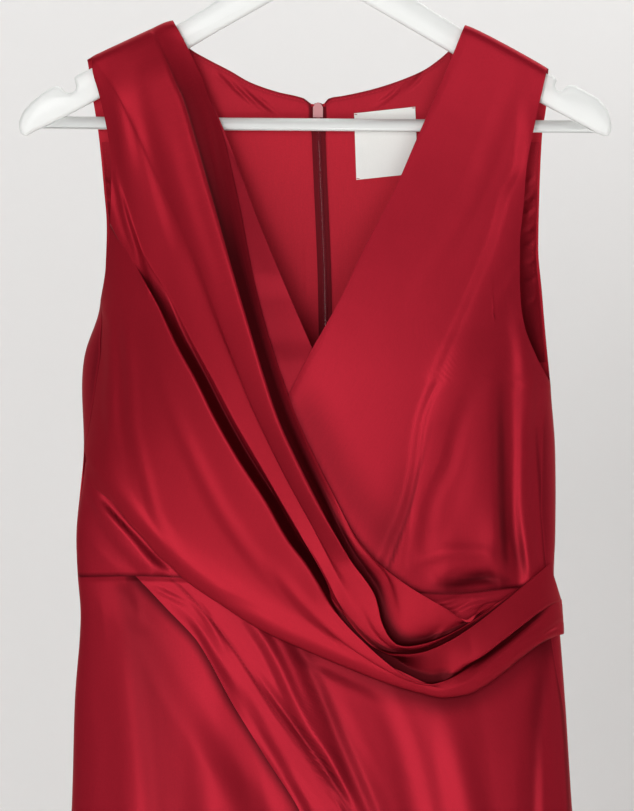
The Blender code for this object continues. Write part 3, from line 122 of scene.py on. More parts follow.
# Back neck edge: x, drop
BACK_NECK = ((-106.5, -1.5), (-105.4, 0.6), (-102.4, 7), (-98.4, 13.4), (-94, 18.5), (-82.9, 25.2),
    (-64.4, 34.8), (-49.6, 43.2), (-29.7, 50.2), (-9.9, 55), (-3, 59.5), (4, 59.5), (9, 54.8), (19.8, 53),
    (39.6, 48.7), (59.4, 42.6), (79.2, 34.2), (89.2, 27.4), (96.2, 21.5), (101, 16.6), (105.2, 10.4),
    (108.3, 4.2), (109.4, 2.2))

# Middle line of the back, where the zip runs: drop, x
CENTRE_BACK = ((0.0, 0.0), (58.5, 0.6), (205.0, 5.9), (409.0, 8.0), (1400.0, 5.0))
BACK_NECK_DROP = 59.5
BACK_SEAM = 0.12           # space between the backs
ZIP_END_DROP = 560.0
TAPE_WIDTH = 5.0
SLIDER_DROP = 64.0
SLIDER_NOTCH = 1.3         # half opening between the backs where the slider passes
SLIDER_NOTCH_DROP = 74.0

# Wrap edge of the upper skirt front, and the hidden edge of the lower one: drop, x
WRAP_EDGE = ((408, -134.5), (418.5, -124.1), (433.2, -110), (447.3, -95.8), (455.8, -88.2), (502, -61.5),
    (540, -37.5), (583, -10.5), (700, 28), (850, 58), (1000, 80), (1200, 102), (1400, 118))
STITCH_LINE = ((408, -110), (411, -107), (434, -84), (462.5, -61.4), (505.4, -33.3), (579.4, 17.8),
    (700, 60), (850, 90), (1000, 111), (1200, 133), (1400, 149))
UNDER_SKIRT_APART = 8.0
UNDER_SKIRT_EDGE = ((408.0, 60.0), (600.0, 112.0), (900.0, 160.0), (1400.0, 205.0))

# Folds of the drape from its lower edge up to its neck edge. Each runs from the side, armhole
# or shoulder down to the pleats at the right side seam: x, drop, lift
DRAPE_FOLDS = (
    ("edge_under", ((-165, 340.4, 1.2), (-156.1, 345.6, 2.4), (-147.3, 353, 3), (-136.2, 367, 3.2),
        (-123.6, 379.6, 3.4), (-114, 390.7, 3.6), (-96.9, 406.3, 3.8), (-70.3, 424.8, 4),
        (-38.5, 444.7, 4), (-11.1, 457.3, 4), (21.5, 471.4, 4), (56.2, 484.7, 4), (76.2, 490.6, 4),
        (91, 493.6, 4), (108.8, 491.4, 4), (121.4, 486.2, 4), (135.4, 476.6, 4), (150.2, 465.5, 3.8),
        (165.8, 455.8, 3.4), (176.9, 452.1, 3.2), (182.4, 451.4, 3.2))),
    ("lower_edge", ((-166.5, 342.6, 1.6), (-157.6, 348.5, 4), (-149.5, 355.2, 5.4), (-137.6, 370.7, 6.4),
        (-125.8, 383.3, 7), (-116.2, 394.4, 7.4), (-98.4, 410, 7.6), (-71.8, 428.5, 7.8), (-40, 448.4, 8),
        (-12.6, 461, 8), (20.7, 475.1, 8), (55.5, 488.4, 8), (76.2, 494.3, 8), (92.5, 497.6, 8),
        (110.3, 495.4, 8), (123.6, 489.1, 8), (137.6, 479.5, 7.4), (151.7, 468.4, 6.6),
        (166.5, 458.1, 5.4), (176.9, 453.6, 4), (182.8, 452.1, 3.4))),
    ("edge_roll", ((-170.9, 316, 0.8), (-162.1, 329.3, 5), (-151.7, 341.1, 8.4), (-135.4, 360.4, 10.6),
        (-121.4, 375.2, 11.6), (-110.3, 386.3, 12), (-92.5, 401.1, 12.4), (-65.9, 420.3, 12.6),
        (-34.8, 440.3, 12.8), (-8.1, 452.9, 12.8), (23.7, 467.7, 12.6), (57.7, 481, 12.2),
        (77, 488.4, 11.6), (91.8, 492.8, 11.2), (108.8, 490.6, 11.4), (120.6, 484.3, 11.8),
        (133.9, 475.1, 11.6), (148.7, 464.7, 10.6), (165, 454.4, 8.6), (176.9, 448.4, 5.6),
        (182.8, 447.7, 3.8))),
    ("lower_panel", ((-172.4, 271.6, 0.4), (-160.6, 290.1, 4.4), (-147.3, 316, 7.6), (-130.2, 345.6, 9.6),
        (-108.8, 370, 11), (-77.7, 397.4, 12.2), (-37.7, 425.5, 13), (3.7, 449.2, 13.4),
        (39.2, 467.7, 13.2), (65.9, 480.3, 12.6), (79.2, 486.6, 12), (91.8, 490.6, 11.8),
        (107.3, 487.3, 12.4), (119.1, 480.3, 12.2), (132.5, 470.3, 11.6), (147.3, 459.9, 10.6),
        (164.3, 448.4, 8.4), (176.9, 442.1, 5.4), (182.4, 441.4, 3.7))),
    ("crest_rise", ((-163.5, 205, 0.4), (-151.7, 223.5, 5.4), (-136.9, 243.5, 9.4), (-119.1, 270.1, 12.7),
        (-102.9, 296.7, 14.6), (-84.4, 327.1, 15.8), (-63.6, 358.2, 16.6), (-43.7, 387, 16.8),
        (-21.5, 413.7, 16.8), (0.7, 438.8, 16), (24.4, 460.3, 15.4), (49.6, 476.6, 14.6),
        (67.3, 485.1, 13.6), (80.7, 488.4, 12.8), (91, 488.8, 12.4), (104.3, 485.1, 12),
        (115.4, 478, 10.8), (128, 468.9, 10), (145, 456.6, 9.2), (164.3, 443.3, 7.4), (176.9, 436.2, 5),
        (182, 435.1, 3.5))),
    ("long_crest", ((-152.8, 150.2, 0.3), (-145.8, 162.8, 4.4), (-137.6, 175.4, 8), (-119.9, 205, 14.6),
        (-106.6, 234.6, 17.5), (-90.3, 264.2, 19), (-75.5, 293.8, 19.9), (-58.5, 323.4, 20.6),
        (-39.2, 353, 20.8), (-22.2, 382.6, 20.8), (-9.6, 398.9, 20.8), (-0.7, 412.9, 20.6),
        (8.1, 427.7, 18.2), (20.7, 443.3, 17.8), (34, 456.6, 17.2), (49.6, 470.6, 16.4),
        (65.9, 482.5, 15.2), (76.2, 486.6, 14.2), (84.4, 487.7, 13.4), (91, 486.2, 13.4),
        (99.9, 482.9, 11.6), (110.3, 477, 8.8), (120.6, 470.9, 7.2), (135.4, 460.6, 6.8),
        (150.2, 449.6, 6.4), (165.8, 438.2, 5.2), (176.9, 431.7, 4), (181.7, 430.7, 3.2))),
    ("crest_under", ((-152.6, 148, 2.8), (-144.6, 162.1, 5.5), (-136.5, 174.6, 8.1),
        (-118.7, 204.2, 10.7), (-103.5, 233.8, 13.2), (-87.3, 263.4, 13.7), (-72.4, 293, 14.3),
        (-55.5, 322.6, 14.8), (-36.3, 352.2, 15), (-19.2, 381.8, 15), (-6.8, 398.1, 15),
        (2.2, 412.2, 14.8), (10.1, 427, 13.5), (20.3, 442.5, 10), (33.6, 455.8, 8.6), (49.1, 469.9, 7),
        (65.1, 481.7, 6), (75.5, 485.9, 5.6), (83.6, 486.9, 5.6), (91, 485.7, 5.8), (99.9, 482, 7.4),
        (110.3, 475.1, 6.4), (120.6, 469, 6), (135.4, 458.2, 5.8), (150.2, 447.3, 5.4),
        (165.8, 435.9, 4.4), (176.9, 429.2, 3.4), (181.6, 428.2, 3))),
    ("long_valley", ((-152.4, 136.9, 2.7), (-138, 162.8, 4.6), (-130.3, 174.6, 5.4), (-110.9, 202.8, 5.7),
        (-97.5, 231.6, 5.4), (-81.2, 262, 4.6), (-66.6, 290.8, 4.6), (-49.8, 320.4, 4.6),
        (-30.8, 350, 4.6), (-14, 378.9, 5.5), (-2.1, 395.2, 6.7), (7.8, 410, 8), (11.1, 424.8, 12),
        (24.4, 439.6, 10.4), (37.7, 452.1, 8), (54, 465.8, 6.2), (68.8, 475.8, 5.2), (79.2, 479.5, 5),
        (86.6, 480.6, 5.2), (91.8, 479.8, 5.4), (100.6, 477.3, 8.6), (111, 471.8, 11.2),
        (121.4, 466.6, 13), (136.2, 455.5, 13.6), (151, 444.4, 12.4), (165.8, 433.3, 9), (176.1, 427, 5),
        (180.6, 425.9, 3.4))),
    ("third_edge", ((-153.2, 116.2, 0.2), (-136.9, 151.7, 2.8), (-125.8, 174.6, 4), (-107.3, 205, 5.6),
        (-92.5, 234.6, 6.6), (-76.2, 264.2, 7.2), (-60.7, 293.8, 7.6), (-44.4, 321.9, 8.2),
        (-27.4, 351.5, 9.2), (-11.1, 379.6, 10.8), (-0.7, 397.4, 12.4), (6.7, 411.4, 13.4),
        (14.1, 427, 14), (21.5, 438.8, 14.6), (31.1, 450.7, 15), (43.7, 461.4, 15), (57, 465.8, 14.8),
        (67.3, 465.8, 14.6), (77.7, 464.3, 14.6), (89.5, 459.9, 14.8), (99.9, 454.7, 14),
        (117.7, 443.3, 11), (135.4, 429.9, 8.4), (153.2, 415.9, 6), (165.8, 405.5, 4.4),
        (170.9, 401.1, 3.4), (172.1, 399.6, 3))),
    ("third_under", ((-153.5, 113.2, 0.2), (-136.2, 150.2, 2.8), (-125.1, 173.6, 4.1),
        (-106.6, 204.2, 5.7), (-91.8, 233.8, 6.7), (-75.5, 263.4, 7.3), (-59.9, 293, 7.7),
        (-43.7, 321.5, 8.3), (-26.6, 350.8, 9.3), (-10.4, 378.9, 10.8), (0, 396.6, 12), (7.4, 411, 12.6),
        (14.8, 426.2, 12.6), (22.2, 438.1, 12), (31.5, 449.8, 10.8), (44, 460.3, 9.4), (57, 464.4, 8.6),
        (67.3, 464.7, 8.2), (77.7, 463.2, 8.2), (89.5, 458.9, 8.6), (99.9, 453.9, 8.4), (117.7, 442.5, 8),
        (135.4, 429.5, 7), (153.2, 415.6, 5.4), (165.8, 405.5, 3.8), (170.9, 401.5, 3),
        (171.7, 400.6, 2.7))),
    ("middle_panel", ((-158.4, 68.1, 0.2), (-139.9, 105.1, 5), (-123.6, 138.4, 7), (-102.9, 176.9, 8.8),
        (-82.9, 213.9, 9.8), (-65.1, 249.4, 10.2), (-48.8, 282.7, 10.4), (-32.6, 316, 10.6),
        (-15.5, 349.3, 11), (-0.7, 378.1, 11.8), (8.9, 397.4, 12.4), (17, 413.7, 12.6),
        (24.4, 427.7, 12.2), (31.8, 439.6, 11.4), (40, 449.2, 10.4), (49.6, 457.7, 9.6),
        (58.5, 462.2, 9.2), (68.8, 462.8, 9), (79.2, 461, 9), (89.5, 456.9, 9), (101.4, 450.7, 8.8),
        (116.2, 441.4, 8.2), (132.5, 429.6, 6.8), (150.2, 417.4, 5), (165, 406.3, 3.2),
        (171.7, 401.4, 2.5))),
    ("pleat_rise", ((-165.8, 25.2, 0.2), (-144.3, 59.2, 6), (-129.5, 89.5, 8.6), (-114.7, 120.6, 10.4),
        (-99.9, 151.7, 11.8), (-86.6, 182.8, 12.8), (-75.5, 212.4, 13.2), (-63.6, 243.5, 13.4),
        (-51.1, 276, 13.4), (-37, 307.1, 13.4), (-22.2, 336.7, 13.6), (-6.7, 364.8, 14),
        (6.7, 388.5, 14.2), (17.8, 406.3, 14), (27.4, 419.6, 13.4), (34, 430.7, 12.8), (39.2, 441, 12.2),
        (45.1, 449.9, 11.6), (51.8, 457, 11), (59.2, 461, 10.6), (68.1, 461.6, 10.4), (78.4, 460, 10.2),
        (89.5, 455.8, 10), (100.6, 449.8, 9.6), (115.4, 441.8, 8.8), (131, 430.4, 7), (149.5, 417.7, 4.8),
        (165, 406.3, 3), (171.7, 401.5, 2.4))),
    ("shoulder_pleat", ((-124.5, 5.6, 0.2), (-122.1, 11.1, 3.6), (-116.9, 22.9, 7.4), (-111, 36.3, 11.1),
        (-106.6, 46.6, 12.8), (-101.8, 57, 14.3), (-92.9, 86.6, 17.1), (-84, 116.2, 18.5),
        (-75.1, 145.8, 19.2), (-66.2, 175.4, 19.7), (-57.4, 205, 19.7), (-48.5, 234.6, 19.7),
        (-39.6, 264.2, 19.7), (-29.6, 293.8, 19.7), (-16.3, 323.4, 19.7), (-1.5, 353, 19.7),
        (15.9, 382.6, 19.7), (25.9, 398.9, 15.8), (37, 413.7, 15.2), (42.2, 422.5, 14.6),
        (44.8, 431.4, 14), (46.3, 438.8, 13.4), (49.6, 447.7, 12.8), (54, 454.8, 12.2),
        (59.2, 459.1, 11.8), (65.9, 460.3, 11.4), (77, 458.8, 11), (89.5, 454.8, 10.6),
        (102.9, 448.4, 10), (114.7, 441.5, 9.4), (123.6, 435.5, 8.6), (131, 430.3, 7.2),
        (148.7, 418.1, 4.6), (165, 406.6, 2.9), (171.7, 401.8, 2.3))),
    ("pleat_under", ((-122.8, 5, 0.2), (-117.9, 10.4, 3), (-112.6, 22.2, 6.2), (-106.6, 35.5, 9.1),
        (-102.2, 45.9, 10.5), (-97.6, 56.2, 11.7), (-88.3, 85.8, 14), (-79.8, 115.4, 15.2),
        (-71.4, 145, 15.8), (-63.2, 174.6, 16.2), (-54.8, 204.2, 16.2), (-46, 233.8, 16.3),
        (-36.9, 263.4, 16.3), (-26.9, 293, 16.4), (-13.5, 322.6, 16.4), (1.3, 352.2, 15.7),
        (16.4, 381.8, 9), (25.9, 398.1, 6.2), (37, 412.9, 4.5), (42.6, 421.8, 4.3), (45.3, 430.7, 4.2),
        (46.9, 438.1, 4.1), (50.3, 447, 3.9), (54.8, 453.9, 3.8), (59.9, 457.8, 3.8), (66.6, 458.9, 3.8),
        (77, 457.6, 3.9), (89.5, 453.8, 4.1), (102.9, 447.7, 5.8), (114.7, 440.9, 6), (123.6, 435.1, 6),
        (131, 430.4, 5.4), (148.7, 418.5, 3.8), (165, 407, 2.7), (171.7, 402.2, 2.2))),
    ("deep_valley", ((-116.2, 1.8, 0.2), (-111.5, 9.6, 2.4), (-106, 21.5, 4.5), (-99.6, 35.5, 6.1),
        (-95.2, 45.9, 6.8), (-90.9, 56.2, 7.5), (-81.3, 85.1, 8.9), (-73.3, 114.7, 9.6),
        (-65.7, 144.3, 10), (-58.4, 173.9, 10.2), (-50.8, 203.5, 10.4), (-42.3, 233.1, 10.5),
        (-32.9, 262.7, 10.6), (-22.9, 291.6, 9.4), (-9.9, 320.4, 7.8), (4.5, 349.3, 6.6),
        (19.2, 378.1, 5.2), (28.9, 394.4, 4.6), (39.2, 409.2, 2.8), (45.1, 418.8, 2.6),
        (48.1, 428.5, 2.6), (50.3, 435.9, 2.6), (53.6, 443.3, 2.6), (58.1, 449.9, 2.6),
        (63.6, 454.4, 2.6), (69.6, 455.5, 2.6), (77, 454.8, 2.6), (83.6, 452.6, 2.8), (91.8, 449.5, 5),
        (103.6, 444.7, 5.4), (114.7, 439.6, 5.8), (123.6, 434.8, 5.8), (131, 430.5, 5.2),
        (148.7, 418.8, 3.6), (165, 407.4, 2.6), (171.7, 402.6, 2.1))),
    ("neck_panel", ((-111, -0.4, 0.2), (-105.7, 9.6, 2.2), (-99.2, 22.9, 3.5), (-91.8, 39.2, 3.9),
        (-87.1, 51.1, 4.3), (-82.7, 62.2, 4.7), (-74.7, 86.6, 5.3), (-67.1, 116.2, 5.6),
        (-60.2, 145.8, 5.9), (-54.1, 173.9, 6), (-47.1, 203.5, 6.2), (-39.1, 232.4, 6.4),
        (-29.7, 261.2, 6.5), (-19.8, 289.3, 6.5), (-7.3, 317.5, 5.9), (6.1, 344.5, 5.7), (20.7, 373.7, 6),
        (31.8, 389.2, 6.4), (45.1, 402.6, 6.2), (52.5, 411.4, 6), (56.2, 420.3, 5.9), (59.2, 428.5, 5.9),
        (63.6, 435.9, 5.9), (69.6, 441, 6), (77, 443.3, 6.2), (85.1, 443.3, 6.6), (94.7, 441.4, 7.2),
        (103.6, 440.6, 8.2), (109.5, 441, 8.8), (114.7, 438.1, 7.6), (120.6, 434.7, 6.8),
        (125.1, 432.6, 6.2), (131, 430.2, 5), (148.7, 419.1, 3.4), (165, 407.7, 2.5), (171.7, 402.9, 2))),
    ("neck_edge", ((-106.6, -1.5, 0.2), (-99.9, 10.4, 2.2), (-93.2, 23.7, 2.4), (-85.1, 41.4, 1.7),
        (-79.9, 55.5, 1.8), (-75.5, 66.6, 1.9), (-69.9, 82.9, 2), (-61.4, 117.7, 2), (-55.2, 147.3, 2.2),
        (-49.6, 176.9, 2.2), (-43.4, 205, 2.4), (-35.5, 233.8, 2.6), (-26.3, 261.2, 2.8),
        (-15.1, 292.3, 3.4), (-2.2, 320.4, 4), (11.5, 347.8, 4.8), (28.9, 380.4, 7), (42.2, 396.3, 8.8),
        (55.5, 407.4, 9.2), (68.8, 416.9, 9.6), (82.9, 425.5, 9.8), (93.2, 431.4, 9.8),
        (102.9, 437.6, 9.6), (111, 442.5, 9.4), (114, 441.5, 8.8), (117.4, 435.9, 8), (122.1, 430.4, 7.2),
        (128, 428.2, 6.2), (134.7, 427.4, 4.8), (149.5, 418.8, 3.2), (165, 408, 2.4),
        (171.7, 403.2, 1.9))),
)

# Soft folds, as lines down the cloth. Height is the relief in mm, widths are how far it
# reaches to each side: name, line of (drop, x), left_width, right_width, height
LEFT_FRONT_FOLDS = (
    ("dart_fold", ((80, 158), (108, 154.6), (128, 145), (161, 135.4), (190, 123.6), (225, 108.6),
        (261, 93.2), (297, 80.7), (338, 75.3), (382, 60), (403, 51.8)), 12, 34, 2.4),
    ("side_valley", ((262, 140), (279, 139.6), (340, 140), (405, 147)), 13, 12, -3.8),
    ("side_ridge", ((225, 150), (262, 154), (300, 156), (350, 155), (390, 158)), 11, 10, 2),
    ("waist_dip", ((372, 116), (392, 118), (409, 120)), 26, 20, -3),
)
RIGHT_FRONT_FOLDS = (
    ("under_drape_ridge", ((352, -164), (368, -154), (388, -139), (404, -122)), 12, 12, 3),
)
SKIRT_FOLDS = (
    ("left_side_ridge", ((436, -148), (583, -136), (900, -158), (1400, -196)), 26, 22, 17),
    ("left_front_ridge", ((452, -86), (583, -72), (900, -86), (1400, -104)), 30, 30, 20),
    ("wrap_ridge", ((436, -38), (500, -8), (583, 34), (900, 96), (1400, 150)), 14, 26, 18),
    ("centre_ridge", ((583, -30), (900, -6), (1400, 10)), 26, 26, 22),
    ("right_front_ridge", ((480, 100), (583, 112), (900, 150), (1400, 196)), 26, 24, 20),
    ("right_side_ridge", ((476, 160), (583, 168), (900, 200), (1400, 246)), 18, 14, 12),
)
BACK_SKIRT_FOLDS = (
    ("left_side_ridge", ((440, -140), (900, -170), (1400, -215)), 28, 26, 18),
    ("left_ridge", ((440, -76), (900, -96), (1400, -118)), 30, 28, 22),
    ("left_centre_ridge", ((520, -20), (900, -26), (1400, -34)), 24, 22, 14),
    ("right_centre_ridge", ((520, 38), (900, 44), (1400, 52)), 22, 26, 14),
    ("right_ridge", ((440, 92), (900, 116), (1400, 134)), 28, 30, 22),
    ("right_side_ridge", ((440, 148), (900, 182), (1400, 226)), 26, 24, 17),
)
BACK_BODICE_FOLDS = (
    ("left_dart", ((212, -26), (300, -40), (409, -60)), 14, 14, -2.6),
    ("right_dart", ((212, 36), (300, 52), (409, 74)), 14, 14, -2.6),
)
FOLD_GROWTH_DROP = 820.0   # over this length a skirt fold grows to its full height
FOLD_START_SHARE = 0.08    # of its height, at the top
FOLD_WIDTH_SHARES = (0.8, 1.5)   # of its width, at the top and when it is full-grown
FOLD_FADE = 30.0           # a bodice fold fades in and out over this length
CREASE_STEP = 6.0          # a crease's line is filled in at this distance
SIDE_FADE = 16.0           # folds die out this close to a side seam

# Label, seen from the front: corners as x, drop
LABEL_CORNERS = ((27.5, 66.5), (72.8, 61.6), (74.9, 110.8), (29.2, 115.6))

# Creases, listed one by one: name, reach to the left and right of the line, sharpness, and the
# line's points as x, drop, height
DRAPE_CREASES = (
    ("end_roll", 3.5, 3.5, 1, ((182, 450, 0.8), (175, 451, 1.2), (169, 454, 1.2), (163, 460, 0.3))),
    ("end_dip", 3.5, 3, 1, ((181, 443, -0.8), (173, 448, -1.2), (166, 453, -1), (156, 460, -0.2))),
    ("armhole_ridge", 6, 4.5, 1.2, ((-153, 105, 0.51), (-150, 115, 2), (-143, 137, 2.4), (-134, 165, 2.2),
        (-124, 199, 0.85))),
    ("armhole_pucker_high", 4.6, 3.4, 1, ((-158, 100, 0.24), (-153, 107, 0.84), (-147, 113, 0.18))),
    ("armhole_pucker_low", 4, 4, 1, ((-157, 116, 0.24), (-152, 124, -0.78), (-146, 132, -0.18))),
    ("shoulder_sheen", 10.3, 9.2, 1, ((-155, 27, 0.18), (-149, 50, 0.78), (-143, 79, 0.96),
        (-138, 105, 0.3))),
    ("shoulder_hollow", 9.2, 8, 1, ((-137, 27, -0.18), (-131, 57, -0.84), (-122, 94, -1.1),
        (-112, 131, -0.84), (-101, 168, -0.3))),
    ("middle_sheen", 9.2, 10.3, 1, ((-116, 72, 0.18), (-109, 94, 0.6), (-97, 135, 0.84), (-84, 175, 0.72),
        (-72, 212, 0.24))),
    ("side_sheen", 8, 8, 1, ((-156, 205, 0.12), (-154, 238, 0.84), (-153, 279, 1.1), (-152, 316, 0.42),
        (-149, 334, 0.06))),
    ("side_dip", 5.8, 5.8, 1, ((-148, 220, -0.12), (-146, 249, -0.84), (-144, 294, -0.84),
        (-138, 331, -0.3))),
    ("inner_sheen", 6.9, 6.9, 1, ((-143, 212, 0.12), (-138, 242, 0.9), (-135, 294, 1), (-127, 331, 0.84),
        (-116, 368, 0.48), (-101, 388, 0.12))),
    ("long_drag", 8, 10.3, 1, ((-124, 227, 0.12), (-109, 279, 0.6), (-90, 323, 0.96), (-66, 368, 0.9),
        (-41, 402, 0.48), (-20, 424, 0.12))),
    ("edge_dimple_high", 4.6, 5.8, 1, ((-131, 374, -0.18), (-124, 383, -0.78), (-114, 391, -0.18))),
    ("edge_dimple_low", 5.8, 5.8, 1, ((-75, 420, -0.12), (-60, 427, -0.72), (-44, 435, -0.12))),
    ("low_pull", 6.9, 8, 1, ((-35, 397, 0.12), (-13, 426, 0.78), (10, 448, 0.84), (36, 468, 0.3))),
    ("neck_ripple", 3.4, 4, 1, ((-83, 57, 0.12), (-76, 94, 0.48), (-69, 131, 0.42), (-62, 168, 0.12))),
    ("waist_pull_high", 5.8, 5.8, 1, ((135, 448, 0.12), (150, 436, 0.72), (165, 426, 0.6),
        (174, 421, 0.12))),
    ("waist_pull_low", 4.6, 4.6, 1, ((130, 464, -0.12), (144, 454, -0.66), (161, 443, -0.54),
        (172, 436, -0.12))),
)
LEFT_FRONT_CREASES = (
    ("neck_edge_stand", 8, 9, 1, ((106, 8, 0.3), (76, 69, 1), (35, 151, 1.4), (5, 212, 1.6),
        (-30, 285, 1.6))),
    ("dart_line", 2.2, 1.8, 1, ((113, 218, -0.035), (106, 235, -0.24), (92, 264, -0.32), (79, 294, -0.35),
        (75, 323, -0.35), (70, 353, -0.32), (67, 383, -0.21), (64, 405, -0.07))),
    ("dart_bulge", 16, 30, 1, ((125, 190, 0.05), (113, 227, 0.4), (100, 260, 0.8), (87, 297, 1),
        (82, 327, 1), (76, 357, 0.9), (72, 386, 0.7), (70, 406, 0.2))),
    ("centre_dip", 8.4, 9.6, 1, ((113, 272, -0.1), (103, 301, -0.6), (97, 325, -0.85), (84, 354, -0.85),
        (79, 386, -0.45))),
    ("side_ridge_high", 10, 9, 1, ((155, 235, 0.05), (156, 258, 0.5), (157, 286, 0.3), (155, 316, 0.05))),
    ("side_ridge_low", 9, 9, 1, ((155, 372, 0.1), (158, 388, 0.6), (161, 402, 0.3))),
    ("side_valley_edge", 10, 9, 1, ((140, 353, -0.1), (144, 379, -0.8), (147, 394, -1.2),
        (151, 406, -0.6))),
    ("waist_oval", 9, 9, 1, ((94, 415, -0.96), (106, 411, -4.8), (124, 410, -5.3), (137, 414, -1.6))),
    ("waist_shelf", 7.2, 9.6, 1, ((64, 403, 0.2), (79, 396, 1.1), (98, 391, 1.8), (118, 391, 1.9),
        (135, 397, 0.5))),
    ("shoulder_pull", 12, 12, 1, ((150, 35, 0.1), (135, 72, 0.5), (116, 124, 0.7), (91, 168, 0.45),
        (69, 205, 0.1))),
    ("neck_edge_pull", 7.2, 9.6, 1, ((76, 72, -0.05), (61, 109, -0.4), (42, 153, -0.5),
        (21, 198, -0.15))),
    ("armhole_drag", 7.2, 8.4, 1, ((158, 168, 0.15), (144, 190, 0.65), (131, 212, 0.45),
        (121, 232, 0.1))),
    ("waist_crumple_a", 3.6, 3.6, 1, ((84, 408, 0.15), (90, 414, 0.55), (94, 420, 0.2))),
    ("side_fullness", 56, 16, 1, ((130, 227, 0.2), (131, 264, 3), (130, 301, 5.2), (130, 331, 6.2),
        (130, 368, 6.2), (127, 394, 5), (125, 416, 1.8))),
)
RIGHT_FRONT_CREASES = (
    ("under_ridge", 6, 5, 1, ((-168, 350, 0.48), (-155, 362, 1.9), (-138, 379, 2.4), (-119, 400, 1.9),
        (-101, 412, 0.48))),
    ("under_valley", 5, 5, 1, ((-158, 353, -0.36), (-144, 367, -1.8), (-124, 388, -2),
        (-105, 406, -0.72))),
    ("side_pucker", 4.4, 4.4, 1, ((-169, 383, 0.14), (-161, 391, 0.77), (-149, 402, 0.63),
        (-138, 409, 0.14))),
    ("neck_dart", 1.6, 1.6, 1, ((-70, 82, -0.12), (-41, 143, -0.3), (-13, 205, -0.3), (0, 235, -0.12))),
)
SKIRT_FRONT_RIGHT_CREASES = (
    ("side_bright", 12, 12, 1, ((-149, 427, 0.05), (-144, 449, 0.2), (-138, 516, 0.3), (-129, 568, 0.3),
        (-119, 723, 0.2), (-109, 871, 0.1))),
    ("side_dark", 11, 12, 1, ((-161, 457, -0.05), (-153, 531, -0.2), (-149, 583, -0.2),
        (-146, 723, -0.1))),
    ("wide_bright", 22, 20, 1, ((-109, 457, 0.1), (-97, 501, 0.7), (-90, 545, 1), (-82, 597, 1),
        (-67, 723, 0.7), (-54, 871, 0.2))),
    ("wrap_shadow", 7, 12, 1, ((-50, 527, -0.2), (-39, 564, -0.8), (-26, 612, -0.8), (-8, 693, -0.3))),
    ("seam_pull_a", 5, 5, 1, ((-164, 420, 0.1), (-158, 436, 0.35), (-156, 457, 0.1))),
    ("seam_pull_b", 5, 6, 1, ((-137, 415, 0.1), (-132, 431, 0.35), (-130, 457, 0.1))),
    ("low_a", 18, 18, 1, ((-153, 686, 0.5), (-158, 871, 4), (-164, 1093, 7), (-166, 1393, 8))),
    ("low_b", 16, 18, 1, ((-87, 708, -0.5), (-82, 871, -5), (-84, 1093, -8), (-87, 1393, -9))),
)
